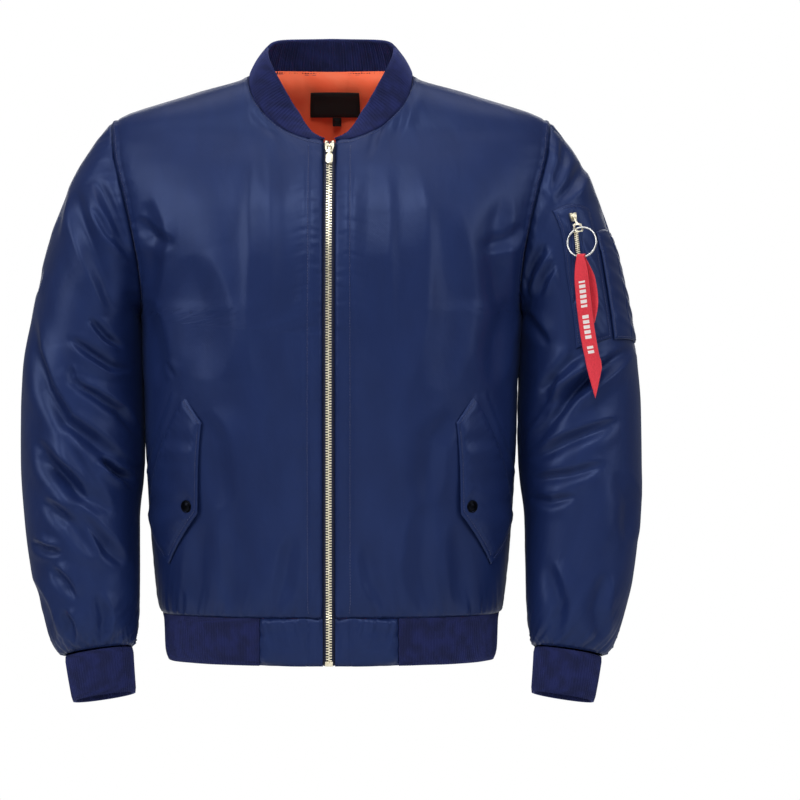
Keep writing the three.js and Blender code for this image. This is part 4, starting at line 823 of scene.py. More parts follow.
# Sleeves
sleeveFolds = dict(
    right=[  # the wearer's right, on the left as seen from in front
        dict(path=[(102, 184), (116, 214), (135, 258)], width=7, depth=4.4, side=-1),
        dict(path=[(99, 210), (113, 236), (131, 256)], width=4, depth=3.2, side=-1),
        dict(path=[(80, 192), (88, 226), (97, 250), (110, 284), (119, 316)], width=9, depth=4.2, side=-1),
        dict(path=[(70, 190), (64, 216), (62, 240)], width=6, depth=1.8),
        dict(path=[(96, 320), (111, 338), (126, 349)], width=4, depth=3.8, side=-1),
        dict(path=[(77, 339), (96, 354), (116, 367), (134, 371)], width=5, depth=4.2, side=-1),
        dict(path=[(76, 366), (80, 380), (88, 386)], width=4, depth=2.4),
        dict(path=[(77, 382), (100, 395), (123, 411), (140, 436)], width=5, depth=4.6),
        dict(path=[(38, 318), (41, 352), (54, 390), (73, 421), (100, 441), (119, 457), (142, 471)], width=8, depth=6.4,
             side=1),
        dict(path=[(43, 440), (58, 460), (77, 481), (92, 500)], width=8, depth=4.6),
        dict(path=[(104, 456), (118, 468), (136, 481)], width=4, depth=3.6, side=-1),
        dict(path=[(46, 270), (38, 296)], width=4, depth=1.6),
        dict(path=[(69, 431), (90, 470), (115, 512)], width=6, depth=3.2),
        dict(path=[(44, 455), (78, 480), (108, 511)], width=9, depth=4.6),
        dict(path=[(108, 455), (118, 470), (138, 486)], width=4, depth=3.2, side=-1),
        dict(path=[(105, 456), (122, 470), (138, 477)], width=4, depth=2.4),
        dict(path=[(51, 498), (78, 520), (102, 555)], width=7, depth=3.4),
        dict(path=[(79, 502), (93, 521), (128, 562)], width=7, depth=3.6),
        dict(path=[(38, 539), (52, 546), (69, 549)], width=4, depth=2.2),
        dict(path=[(59, 564), (72, 578), (83, 594)], width=5, depth=2.2),
        dict(path=[(35, 578), (50, 604), (61, 635)], width=7, depth=2.4),
        dict(path=[(70, 606), (77, 620), (81, 635)], width=5, depth=2.2),
        dict(path=[(104, 590), (110, 612), (108, 636)], width=6, depth=2.4),
    ],
    left=[
        dict(path=[(545, 126), (540, 161), (530, 198)], width=5, depth=3.6),
        dict(path=[(580, 165), (569, 189), (552, 211)], width=7, depth=4.2),
        dict(path=[(562, 138), (560, 168), (549, 196)], width=5, depth=2.6, side=-1),
        dict(path=[(533, 204), (524, 228), (521, 246)], width=5, depth=3.0),
        dict(path=[(559, 231), (541, 251), (527, 274), (522, 297)], width=6, depth=4.2),
        dict(path=[(556, 259), (542, 280), (536, 298)], width=5, depth=3.4),
        dict(path=[(524, 312), (532, 326), (546, 346)], width=5, depth=2.8),
        dict(path=[(578, 351), (556, 374), (538, 391)], width=6, depth=3.8),
        dict(path=[(631, 342), (606, 364), (577, 386), (550, 407)], width=7, depth=4.8),
        dict(path=[(598, 356), (582, 382), (561, 407), (548, 421)], width=5, depth=3.4, side=-1),
        dict(path=[(529, 428), (544, 401), (552, 374)], width=7, depth=3.6, side=-1),
        dict(path=[(529, 452), (548, 420), (566, 392), (607, 362)], width=8, depth=4.6),
        dict(path=[(528, 460), (564, 441), (614, 421)], width=7, depth=4.2),
        dict(path=[(531, 479), (568, 473), (599, 463)], width=6, depth=3.2),
        dict(path=[(528, 496), (548, 500), (572, 494)], width=5, depth=2.2),
        dict(path=[(612, 470), (624, 500), (622, 540)], width=10, depth=2.2),
        dict(path=[(545, 560), (556, 600), (552, 634)], width=8, depth=2.2),
        dict(path=[(600, 570), (592, 604), (596, 636)], width=8, depth=2.2),
    ],
    behind=[
        dict(path=[(112, 190), (84, 244), (60, 300)], width=11, depth=3.4),
        dict(path=[(126, 240), (100, 300), (66, 340)], width=11, depth=3.8),
        dict(path=[(132, 330), (96, 372), (44, 390)], width=10, depth=4.6),
        dict(path=[(138, 388), (110, 410), (58, 424)], width=8, depth=4.2, side=-1),
        dict(path=[(140, 420), (106, 452), (36, 470)], width=9, depth=4.4),
        dict(path=[(138, 470), (96, 492), (44, 510)], width=9, depth=3.8),
        dict(path=[(132, 530), (98, 548), (52, 560)], width=9, depth=3.2),
        dict(path=[(120, 570), (104, 606), (108, 634)], width=8, depth=2.6),
        dict(path=[(62, 584), (70, 612), (66, 636)], width=8, depth=2.6),
    ],
)


def sleeveRelief(points, t, angle, folds, seed, mirror):
    n = normalsOf(points, True)
    spans = spansOf(points)
    down, up, around = spans["foot"], spans["top"], spans["left"]
    x, z = points[..., 0], points[..., 2]
    inFront, behind = fade((0.45 - n[..., 1]) / 0.9), fade((n[..., 1] + 0.35) / 0.7)
    depth = 1.35 + 0.9 * fade((-z - 440) / 90)
    relief = depth * creases(x, z, folds) * inFront
    relief = relief + depth * creases(-np.abs(x), z, sleeveFolds["behind"]) * behind
    relief = relief * fade(down / 16) * fade(up / 12)
    flatPatch = 0
    if not mirror:
        head = np.interp(angle, [0, 43, 77, 100], [0.18, 0.12, 0.04, 0.04])
        flatPatch = fade((angle + 4) / 8) * fade((102 - angle) / 8) * fade((t - head + 0.02) / 0.03) * fade((0.44 - t) / 0.03)
        relief = relief * (1 - flatPatch)
    relief = relief + puckers(up, around, 12, 2.6, 20, seed)
    relief = relief + puckers(down, around, 15, 1.5, 12, seed + 1)
    relief = relief + 1.6 * fade(down / 30) * fade(up / 26) * (1 - flatPatch)
    return relief + seamDip(down, 1.6, 2.8) + seamDip(up, 2, 3)


def forearmShift(points, shift=7):
    top = float(curveOf(sleeveRings, "t", "outerZ")(0.5))
    moved = points.copy()
    moved[..., 0] -= shift * fade((top - points[..., 2]) / (top + 690))
    return moved


roundAngles, alongSleeve = np.meshgrid(np.linspace(0, 360, fine["around"] + 1), np.linspace(0, 1, fine["down"]) ** 0.95)
sleeveBase = plainSleeve(alongSleeve, roundAngles)
rightSleeveBase = mirrored(forearmShift(sleeveBase))


def sleeveShape(base, folds, seed, mirror):
    relief = sleeveRelief(base, alongSleeve, roundAngles, folds, seed, mirror)
    n = towardArmhole(base, normalsOf(base, True), spansOf(base)["foot"], np.where(base[..., 1] < 0, -1, 1))
    return base + n * relief[..., None]


leftSleeve = sleeveShape(sleeveBase, sleeveFolds["left"], 71, False)
rightSleeve = sleeveShape(rightSleeveBase, sleeveFolds["right"], 91, True)
sleeveLeft = clothSheet("sleeve_left_cloth", leftSleeve, "shell", "shell_nylon", garment["shell"], True, replaces=["sleeve_left"])
sleeveRight = clothSheet("sleeve_right_cloth", rightSleeve, "shell", "shell_nylon", garment["shell"], True, replaces=["sleeve_right"])
print("sleeves made")

# Knitted collar, cuffs and hem band, with real ribs
knit = dict(pitch=3.2, relief=0.95)


def ribRelief(spans, wrapped=False):
    middle = spans["left"][len(spans["left"]) // 2]
    count = round(middle[-1] / knit["pitch"])
    wave = np.abs(np.cos(np.pi * middle / middle[-1] * count))
    rise = knit["relief"] * (wave**0.7 - 1)
    ends = np.exp(-((np.minimum(spans["foot"], spans["top"]) / 2.0) ** 2))
    return rise * (1 - 0.6 * ends) - 0.9 * ends


def neckFrame(angle):
    p = neckPoint(angle)
    along = unit(neckPoint(np.minimum(angle + 0.5, 180)) - neckPoint(angle - 0.5))
    along[angle >= 179] = (-1, 0, 0)
    inward = unit(p * [-1, -1, 0])
    lean = np.radians(collarLean(angle))[:, None]
    stand = inward * np.sin(lean) + np.array([0, 0, 1]) * np.cos(lean)
    stand = unit(stand - along * (stand * along).sum(-1, keepdims=True))
    face = unit(np.cross(stand, along))
    face = np.where(((face * p)[:, :2].sum(-1) < 0)[:, None], -face, face)
    return p, stand, face


ribSamples = dict(collar=720, band=1100, cuff=440, tab=60)
neckStart = math.degrees(math.asin(garment["zipHalf"] / garment["neckHalf"]))
collarAngles = np.linspace(neckStart, 180, ribSamples["collar"] // 2)
foot, stand, face = neckFrame(collarAngles)
for values in (stand, face):
    smooth = values.copy()
    for k in range(3):
        padded = np.concatenate([np.full(12, values[0, k]), values[:, k], values[::-1, k][:12] * (-1 if k == 0 else 1)])
        smooth[:, k] = np.convolve(padded, np.hanning(25) / np.hanning(25).sum(), "same")[12:-12]
    values[:] = unit(smooth)
rise = np.linspace(0, 1, 11)[:, None]
half = foot + stand * (garment["collarFoot"] + rise * collarWidth(collarAngles))[..., None]
half = half + face * (garment["collarBow"] * np.sin(np.pi * rise) * np.ones(len(collarAngles)))[..., None]
collarBase = np.concatenate([half, (half * [-1, 1, 1])[:, ::-1][:, 1:]], axis=1)
collarShape = raised(collarBase, ribRelief(spansOf(collarBase)))
collar = clothSheet("collar_knit", collarShape, "rib", "rib_knit", garment["rib"], replaces=["collar"])


def bandPoints(heights, start, end, shares):
    z, share = np.meshgrid(heights, shares, indexing="ij")
    return alongSection(z, -1, start, np.full_like(z, end), share)


bandHeights = np.linspace(garment["band"], garment["hem"] - garment["seam"], 10)
frontBand = bandPoints(bandHeights, garment["tabEnd"] + 0.2, 999, np.linspace(0, 1, ribSamples["band"] // 4))
z, share = np.meshgrid(bandHeights, np.linspace(0, 1, ribSamples["band"] // 3), indexing="ij")
backBand = alongSection(z, 1, 0, bodyHalf(z), share)[:, ::-1]
halfBand = np.concatenate([frontBand, backBand[:, 1:]], axis=1)
bandBase = np.concatenate([halfBand, (halfBand * [-1, 1, 1])[:, ::-1][:, 1:]], axis=1)
bandSpans = spansOf(bandBase)
bandEdge = np.minimum(bandSpans["left"], bandSpans["right"])
bandRelief = ribRelief(bandSpans) + puckers(bandEdge, bandSpans["foot"], 9, 0.8, 5, 5)
bandShape = raised(bandBase, bandRelief + 0.5 * ripple(bandSpans["left"], 90, 8))
hemBand = clothSheet("hem_band_knit", bandShape, "rib", "rib_knit", garment["rib"], replaces=["hem_rib"])

tabBase = bandPoints(bandHeights, garment["zipHalf"], garment["tabEnd"] - 0.2, np.linspace(0, 1, ribSamples["tab"]))
for side, base in (("left", tabBase), ("right", mirrored(tabBase))):
    spans = spansOf(base)
    fromZip, end = (spans["left"], spans["right"]) if side == "left" else (spans["right"], spans["left"])
    relief = 1.4 * fade(fromZip / 9) * fade(end / 7) * fade(spans["foot"] / 8) * fade(spans["top"] / 8)
    relief = relief + puckers(end, spans["foot"], 9, 2.0, 15, 14) + puckers(spans["top"], fromZip, 12, 1.8, 12, 15)
    relief = relief + 1.3 * ripple(spans["foot"] + 0.2 * fromZip, 16, 17) * fade(fromZip / 20)
    relief = relief + seamDip(spans["top"], 1.2, 2) + seamDip(end, 1.2, 2) - 0.7 * np.exp(-(((fromZip - 17) / 1.6) ** 2))
    clothSheet(f"hem_tab_{side}_cloth", raised(base, relief), "shell", "shell_nylon", garment["rib"],
               replaces=[f"hem_tab_{side}"])

angles, along = np.meshgrid(np.linspace(0, 360, ribSamples["cuff"] + 1), np.linspace(0, 1, 10))
cuffBase = ringPoint(cuffRings, along, angles)
for side, base in (("left", cuffBase), ("right", mirrored(forearmShift(cuffBase)))):
    shape = raised(base, ribRelief(spansOf(base)), True)
    clothSheet(f"cuff_{side}_knit", shape, "rib", "rib_knit", garment["rib"], True, replaces=[f"cuff_{side}"])
print("knitted bands made")

# Inside: quilted lining, facings, pocket welt and the bare labels
quilting = dict(puff=0.5, stripWidth=6, thick=1.0)


# Lining's depth behind the shell: thin along the quilting lines, full between them, and
# rolled over the padding where it is gathered on to the neck seam
def liningDepth(points, shares, rows, seed):
    spans = spansOf(points)
    a, b = (shares * 12 + rows) / 2, (shares * 12 - rows) / 2
    diamond = np.abs(np.sin(np.pi * a) * np.sin(np.pi * b)) ** quilting["puff"]
    line = np.minimum(np.abs(np.sin(np.pi * a)), np.abs(np.sin(np.pi * b)))
    crumple = ripple(spans["left"] * 0.8 + spans["foot"] * 0.5, 26, seed) * np.exp(-line * 3)
    top = spans["top"]
    neck = fade((shares * 12 < 5.2) * 1.0)
    strip = (1 - fade((top - 5) / 5)) * neck
    full = garment["liningDepth"] + garment["quiltLine"] + 4 * diamond + 0.5 * crumple
    full = full + neck * (1 - fade((top - 12) / 34)) * (0.6 + 1.3 * ripple(spans["left"] + 0.1 * top, 10, seed + 2))
    full = full - 1.3 * neck * np.exp(-(((top - 8) / 1.6) ** 2))
    rolled = 5.8 + 1.6 * np.sin(np.pi * np.clip(top / 6, 0, 1)) + 0.8 * ripple(spans["left"], 6, seed + 1)
    return mix(full, rolled, strip)


# The upper edge meets the inside of the collar's foot
def toCollar(points, shape, shares):
    seam = points[-1]
    target = seam + unit(seam * [-1, -1, 0]) * 4.4 + np.array([0, 0, 1.2])
    near = (1 - fade(spansOf(points)["top"] / 9)) * fade((5.4 - np.abs(shares) * 12) / 0.5)
    return shape + (target - shape[-1])[None] * near[..., None]


def liningPiece(name, points, side, shares, rows, seed, replaced):
    depth = liningDepth(points, np.abs(shares), rows, seed)
    shape = toCollar(points, points - bodyNormal(points, side) * depth[..., None], shares)
    return clothSheet(name, shape[:, ::-1], "lining", "lining_quilt", quilting["thick"], replaces=[replaced])


quiltShares = np.unique(np.round(np.append(np.linspace(2 / 12, 1, 62), 5 / 12), 5))
quiltRows = evenLevels(70, 56)
frontInside = panelPoints(-1, garment["zipHalf"], np.append(0, quiltShares), quiltRows)[:, 1:]
shareGrid, rowGrid = np.meshgrid(quiltShares, quiltRows)
linings = [
    liningPiece("lining_front_left_quilt", frontInside, -1, shareGrid, rowGrid, 201, "lining_front_left"),
    liningPiece("lining_front_right_quilt", mirrored(frontInside), -1, shareGrid[:, ::-1], rowGrid, 202, "lining_front_right"),
]
backShares = np.unique(np.round(np.append(np.linspace(0, 1, 72), 5 / 12), 5))
backInside = panelPoints(1, 0, backShares, quiltRows)
backInside = np.concatenate([backInside[:, ::-1], backInside[:, 1:] * [-1, 1, 1]], axis=1)
wholeShares = np.concatenate([-backShares[::-1], backShares[1:]])
shareGrid, rowGrid = np.meshgrid(wholeShares, quiltRows)
linings.append(liningPiece("lining_back_quilt", backInside, 1, shareGrid, rowGrid, 203, "lining_back"))

facingPoints = panelPoints(-1, garment["zipHalf"], np.append(np.linspace(0, 2 / 12, 12), [5 / 12, 1]), quiltRows)[:, :12]
for side, base in (("left", facingPoints), ("right", mirrored(facingPoints))):
    spans = spansOf(base)
    fromZip = spans["left"] if side == "left" else spans["right"]
    depth = 4.6 + 1.2 * np.sin(np.pi * np.clip(fromZip / 40, 0, 1)) + 0.4 * ripple(spans["foot"], 24, 61)
    shape = toCollar(base, base - bodyNormal(base, -1) * depth[..., None], 0 * depth)
    clothSheet(f"facing_{side}_cloth", shape[:, ::-1], "facing", "facing_nylon", 1.2, replaces=[f"facing_{side}"])


def insideGrid(side, fromX, toX, fromZ, toZ, slant, depth, across, down):
    x, drop = np.meshgrid(np.linspace(fromX, toX, across), np.linspace(0, 1, down))
    z = mix(fromZ, toZ, drop) + slant * (x - fromX) / (toX - fromX)
    p = bodyAt(x, z, side)
    return p - bodyNormal(p, side) * depth


label = dict(lift=11.6, bow=0.5)
for name, size, finish, slot, holder in (
    ("neck_label", (1, -26, 32, -7, -35, 0), "label", "label_satin", "lining_back_quilt"),
    ("size_tab", (1, 0, 10, -35.5, -45, 0), "label", "label_satin", "neck_label_cloth"),
    ("inner_welt", (-1, 62, 168, -262, -279, 24), "facing", "facing_nylon", "lining_front_left_quilt"),
):
    side = size[0]
    grid = insideGrid(*size, label["lift"], 40, 24)
    spans = spansOf(grid)
    edge = np.minimum(np.minimum(spans["left"], spans["right"]), np.minimum(spans["foot"], spans["top"]))
    n = normalsOf(grid)
    inward = np.sign((n * grid * [1, 1, 0]).sum(-1, keepdims=True))
    bow = (0.5 * fade(edge / 4) - 0.5 * np.exp(-(((edge - 1.6) / 0.6) ** 2)))[..., None]
    shape = grid - n * inward * bow
    if name == "inner_welt":
        slit = np.abs(spans["foot"] - 0.62 * spans["foot"][-1:]) < 1.2
        shape = shape + n * inward * (1.2 * slit)[..., None]
    shape = shape[:, ::-1] if inward.mean() > 0 else shape
    clothSheet(f"{name}_cloth", shape, finish, slot, 0.9, rests=[holder], replaces=[name])
print("inside made")

# Hip pocket flaps
flap = dict(thick=2.2, stand=2.8, lift=4.6, snapAlong=0.52, snapAcross=0.83, snapRadius=7)
flapCorners = dict(
    sewnTop=(132, -358), sewnFoot=(24, -497), freeTop=(155, -388), freeMiddle=(139.5, -487), freeFoot=(84, -544))


def flapBase(along, across):
    corner = {name: np.array(value, float) for name, value in flapCorners.items()}
    along, across = np.broadcast_arrays(np.asarray(along, float), np.asarray(across, float))
    sewn = mix(corner["sewnTop"], corner["sewnFoot"], along[..., None])
    upper = mix(corner["freeTop"], corner["freeMiddle"], along[..., None] * 2)
    lower = mix(corner["freeMiddle"], corner["freeFoot"], along[..., None] * 2 - 1)
    free = np.where((along < 0.5)[..., None], upper, lower)
    spot = mix(sewn, free, across[..., None])
    z = spot[..., 1]
    p = alongSection(z, -1, 0, bodyHalf(z), 0 * z, fromEnd=spot[..., 0])
    n = bodyNormal(p, -1)
    free = fade(across * 1.2) * np.sin(np.pi * mix(0.15, 0.85, along))
    return p + n * (flap["stand"] + flap["lift"] * free)[..., None], n


down, over = np.meshgrid(np.linspace(0, 1, 92), np.linspace(0, 1, 46), indexing="ij")
flapPlaces, flapNormals = flapBase(down, over)
snapPlace, snapNormal = flapBase(flap["snapAlong"], flap["snapAcross"])


def flapRelief(points, seed, sewnSide):
    spans = spansOf(points)
    sewn, free = (spans["left"], spans["right"]) if sewnSide == "left" else (spans["right"], spans["left"])
    head, foot = spans["foot"], spans["top"]
    hem = np.minimum(np.minimum(free, head), foot)
    relief = 1.6 * fade(hem / 16) * fade(sewn / 10)
    relief = relief - 0.9 * np.exp(-(((hem - 5) / 1.3) ** 2)) - 1.2 * np.exp(-((hem / 1.4) ** 2))
    relief = relief + puckers(np.abs(hem - 5), head, 9, 0.8, 6, seed) + puckers(sewn, head, 13, 0.9, 9, seed + 1)
    relief = relief + 1.1 * ripple(head * 0.9 + sewn * 0.6, 46, seed + 2) * fade(hem / 20) * fade(sewn / 12)
    middle = np.hypot(head - 0.52 * head[-1:], (free - 0.21 * free.max()))
    return relief - 1.4 * np.exp(-((middle / 9) ** 2)) + seamDip(sewn, 1.5, 1.8)


seams = []
flapHolders = {}
for side in ("left", "right"):
    base = flapPlaces if side == "left" else mirrored(flapPlaces)
    sewnSide = "left" if side == "left" else "right"
    shape = raised(base, flapRelief(base, 300, sewnSide))
    flapHolders[side] = clothSheet(
        f"pocket_flap_{side}_cloth", shape, "shell", "shell_nylon", flap["thick"], rests=[f"front_{side}_cloth"],
        replaces=[f"pocket_flap_{side}"])
    n = normalsOf(shape)
    inset = slice(6, -6)
    spans = spansOf(shape)
    freeField = spans["right"] if side == "left" else spans["left"]
    seams.append((traceAt(shape, freeField, 5)[6:-6], traceAt(n, freeField, 5)[6:-6]))
    seams.append((traceAt(shape, spans["top"], 5, 0)[6:-4], traceAt(n, spans["top"], 5, 0)[6:-4]))
    seams.append((traceAt(shape, spans["foot"], 5, 0)[4:-6], traceAt(n, spans["foot"], 5, 0)[4:-6]))
stitches("flap_topstitching", seams, pitch=3, long=2.1, radius=0.36)

# Snap caps: a spun dome in a rolled rim
snapProfile = [(0.01, 2.7), (1.6, 2.62), (3.0, 2.3), (4.1, 1.7), (4.7, 1.2), (5.2, 1.05), (5.7, 1.3),
               (6.3, 1.45), (6.8, 1.15), (7, 0.6), (7, 0)]


def spun(name, profile, spot, normal, finish, slot, replaces, steps=40):
    bm = bmesh.new()
    verts = [bm.verts.new((r, 0, h)) for r, h in profile]
    edges = [bm.edges.new(pair) for pair in zip(verts[:-1], verts[1:])]
    bmesh.ops.spin(bm, geom=verts + edges, cent=(0, 0, 0), axis=(0, 0, 1), angle=2 * math.pi,
                   steps=steps, use_merge=True)
    bmesh.ops.remove_doubles(bm, verts=bm.verts, dist=0.02)
    bmesh.ops.holes_fill(bm, edges=bm.edges, sides=0)
    bmesh.ops.recalc_face_normals(bm, faces=bm.faces)
    turn = Vector(normal).to_track_quat("Z", "Y").to_matrix().to_4x4()
    turn.translation = Vector(spot)
    bmesh.ops.transform(bm, matrix=Matrix.Scale(mm, 4) @ turn, verts=bm.verts)
    mesh = bpy.data.meshes.new(name)
    bm.to_mesh(mesh)
    bm.free()
    return place(name, mesh, finish, slot, replaces=replaces)


for side, turn in (("left", 1), ("right", -1)):
    flipX = np.array([turn, 1, 1])
    spun(f"snap_cap_{side}", snapProfile, (snapPlace - snapNormal * 0.2) * flipX, snapNormal * flipX,
         "snap", "snap_metal", [f"snap_{side}"])
print("flaps made")

# Sleeve pocket and, beside it, the pen slots
sleevePocket = [
    dict(down=0, outerT=0.137, outer=43, innerT=0.05, inner=77),
    dict(down=0.5, outerT=0.257, outer=53.5, innerT=0.21, inner=91),
    dict(down=1, outerT=0.395, outer=57, innerT=0.4, inner=93),
]
penPocket = [
    dict(down=0, outerT=0.206, outer=2, innerT=0.18, inner=44.8),
    dict(down=0.5, outerT=0.3, outer=2, innerT=0.285, inner=52),
    dict(down=1, outerT=0.41, outer=4, innerT=0.4, inner=55),
]
patch = dict(lift=2.2, thick=1.5, zipFrom=0.11, zipTo=0.25, zipAngles=(67, 84))


def zipAngle(t):
    return mix(*patch["zipAngles"], (t - patch["zipFrom"]) / (patch["zipTo"] - patch["zipFrom"]))


def patchGrid(places, down, across, lift):
    drop, over = np.meshgrid(np.linspace(0, 1, down), np.linspace(0, 1, across), indexing="ij")
    at = {name: curveOf(places, "down", name)(drop) for name in ("outerT", "outer", "innerT", "inner")}
    t, angle = mix(at["outerT"], at["innerT"], over), mix(at["outer"], at["inner"], over)
    n = sleeveNormal(t, angle)
    return plainSleeve(t, angle) + n * lift, t, angle


pocketBase, pocketT, pocketAngle = patchGrid(sleevePocket, 92, 54, patch["lift"])
spans = spansOf(pocketBase)
edge = np.minimum(np.minimum(spans["left"], spans["right"]), np.minimum(spans["foot"], spans["top"]))
zipOff = np.abs(pocketAngle - zipAngle(pocketT)) * 1.22
zipRun = fade((pocketT - patch["zipFrom"] + 0.012) / 0.01) * fade((patch["zipTo"] + 0.03 - pocketT) / 0.01)
relief = 1.0 * fade(edge / 9) - 1.0 * np.exp(-((edge / 1.4) ** 2)) - 0.6 * np.exp(-(((edge - 3.4) / 1.0) ** 2))
relief = relief + puckers(np.abs(edge - 3.4), spans["foot"] + spans["left"], 9, 0.5, 5, 401)
relief = relief + 0.8 * ripple(spans["foot"] * 0.7 + spans["left"], 30, 402) * fade(edge / 12)
relief = relief - zipRun * 1.7 * np.exp(-((zipOff / 4.2) ** 4)) - zipRun * 0.6 * np.exp(-(((zipOff - 9) / 1.0) ** 2))
pocketShape = raised(pocketBase, relief)
clothSheet("sleeve_pocket_cloth", pocketShape, "shell", "shell_nylon", patch["thick"], rests=["sleeve_left_cloth"],
           replaces=["sleeve_pocket"])

penBase, penT, penAngle = patchGrid(penPocket, 76, 60, patch["lift"])
spans = spansOf(penBase)
edge = np.minimum(np.minimum(spans["left"], spans["right"]), np.minimum(spans["foot"], spans["top"]))
channel = spans["right"] - 0.5 * spans["right"].max()
slot = spans["foot"] - np.where(channel < 0, 20, 8)
relief = 0.8 * fade(edge / 8) - 1.0 * np.exp(-((edge / 1.3) ** 2)) - 0.8 * np.exp(-((channel / 1.1) ** 2))
relief = relief + 0.9 * fade(slot / 0.8) - 0.5 * np.exp(-(((slot - 6) / 0.9) ** 2))
relief = relief + 0.7 * ripple(spans["foot"] + spans["left"] * 0.5, 26, 404) * fade(edge / 10)
penShape = raised(penBase, relief)
clothSheet("pen_pocket_cloth", penShape, "shell", "shell_nylon", patch["thick"], rests=["sleeve_left_cloth"],
           replaces=["pen_pocket"])

seams = []
for shape, inset in ((pocketShape, 3.4), (penShape, 3.0)):
    n, spans = normalsOf(shape), spansOf(shape)
    for field, axis in (("left", 1), ("right", 1), ("foot", 0), ("top", 0)):
        seams.append((traceAt(shape, spans[field], inset, axis)[3:-3], traceAt(n, spans[field], inset, axis)[3:-3]))
stitches("sleeve_pocket_topstitching", seams, pitch=2.8, long=1.9, radius=0.34)
print("sleeve pocket made")

# Topstitching along the zip, neck and armholes
seams = []
for shape, fromZip, fromSide in ((leftShape, "left", "right"), (rightShape, "right", "left")):
    n, spans = normalsOf(shape), spansOf(shape)
    arm = np.argmax(shape[:, 0, 2] > -260) if fromSide == "left" else np.argmax(shape[:, -1, 2] > -260)
    neck = frontShares <= 5 / 12 if fromZip == "left" else (frontShares <= 5 / 12)[::-1]
    seams.append((traceAt(shape, spans[fromZip], 17)[2:-3], traceAt(n, spans[fromZip], 17)[2:-3]))
    line, facing = traceAt(shape, spans["top"], 6.5, 0), traceAt(n, spans["top"], 6.5, 0)
    seams.append((line[neck], facing[neck]))
    seams.append((traceAt(shape, spans[fromSide], 6)[arm:-2], traceAt(n, spans[fromSide], 6)[arm:-2]))
stitches("front_topstitching", seams)
n, spans = normalsOf(backShape), spansOf(backShape)
line, facing = traceAt(backShape, spans["top"], 6.5, 0), traceAt(n, spans["top"], 6.5, 0)
middle = np.abs(line[:, 0]) < garment["neckHalf"]
seams = [(line[middle], facing[middle])]
for fromSide in ("left", "right"):
    column = 0 if fromSide == "left" else -1
    arm = np.argmax(backShape[:, column, 2] > -260)
    seams.append((traceAt(backShape, spans[fromSide], 6)[arm:-2], traceAt(n, spans[fromSide], 6)[arm:-2]))
stitches("back_topstitching", seams)
print("topstitching made")

# Main zip: two rows of cast teeth that mesh along the centre line
teeth = dict(pitch=2.9, reach=4.1, height=1.5, depth=2.0, edge=0.3, out=1.3)


def frontLine(z):
    p = bodyAt(np.zeros_like(z), z, -1)
    return p, bodyNormal(p, -1)


def toothRows(name, spots, normals, ups, size, finish, slot, replaces):
    bm = bmesh.new()
    for index, (spot, normal, up) in enumerate(zip(spots, normals, ups)):
        side = 1 if index % 2 else -1
        across = np.cross(up, normal)
        turn = Matrix(np.array([across, normal, up]).T.tolist()).to_4x4()
        turn.translation = Vector(spot + across * side * (size["reach"] / 2 - 0.7 * size["reach"] / 4.1))
        scale = Matrix.Diagonal((size["reach"], size["depth"], size["height"], 1))
        made = bmesh.ops.create_cube(bm, size=1, matrix=turn @ scale)
        corners = set(made["verts"])
        edges = [edge for vertex in corners for edge in vertex.link_edges]
        bmesh.ops.bevel(bm, geom=list(dict.fromkeys(edges)), offset=size["edge"], segments=1, affect="EDGES",
                        profile=0.5, material=-1)
    bmesh.ops.transform(bm, matrix=Matrix.Scale(mm, 4), verts=bm.verts)
    mesh = bpy.data.meshes.new(name)
    bm.to_mesh(mesh)
    bm.free()
    obj = place(name, mesh, finish, slot, replaces=replaces)
    mesh.polygons.foreach_set("use_smooth", [False] * len(mesh.polygons))
    return obj


zipTop, zipFoot = -96.8, garment["band"] + 5
toothZ = np.arange(zipFoot, zipTop, teeth["pitch"] / 2)
spots, normals = frontLine(toothZ)
ups = unit(np.gradient(spots, axis=0))
toothRows("zip_teeth", spots + normals * 0.3, normals, ups, teeth, "metal", "zip_metal", ["zip_chain"])

sleeveT = np.linspace(patch["zipFrom"] + 0.02, patch["zipTo"], 400)
sleeveLine = plainSleeve(sleeveT, zipAngle(sleeveT))
run = np.append(0, np.cumsum(np.linalg.norm(np.diff(sleeveLine, axis=0), axis=1)))
smallTeeth = dict(pitch=2.2, reach=2.9, height=1.1, depth=1.5, edge=0.22)
toothT = np.interp(np.arange(0, run[-1], smallTeeth["pitch"] / 2), run, sleeveT)
normals = sleeveNormal(toothT, zipAngle(toothT))
spots = plainSleeve(toothT, zipAngle(toothT)) + normals * 3.4
toothRows("sleeve_zip_teeth", spots, normals, -unit(np.gradient(spots, axis=0)), smallTeeth, "metal", "zip_metal",
          ["sleeve_zip_chain"])


# Cast parts keep their solids' form, with their edges rounded as tumbling leaves them
def polished(name, node, finish, slot, body="jacket", width=0.25):
    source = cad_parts[node]
    bm = bmesh.new()
    bm.from_mesh(source.data)
    bmesh.ops.remove_doubles(bm, verts=bm.verts, dist=0.005 * mm)
    bmesh.ops.dissolve_limit(bm, angle_limit=math.radians(2), verts=bm.verts, edges=bm.edges)
    mesh = bpy.data.meshes.new(name)
    bm.to_mesh(mesh)
    bm.free()
    obj = place(name, mesh, finish, slot, body, [node])
    bevel = obj.modifiers.new("worn_edges", "BEVEL")
    bevel.width, bevel.segments, bevel.limit_method = width * mm, 2, "ANGLE"
    bevel.angle_limit = math.radians(28)
    bevel.harden_normals = True
    return obj


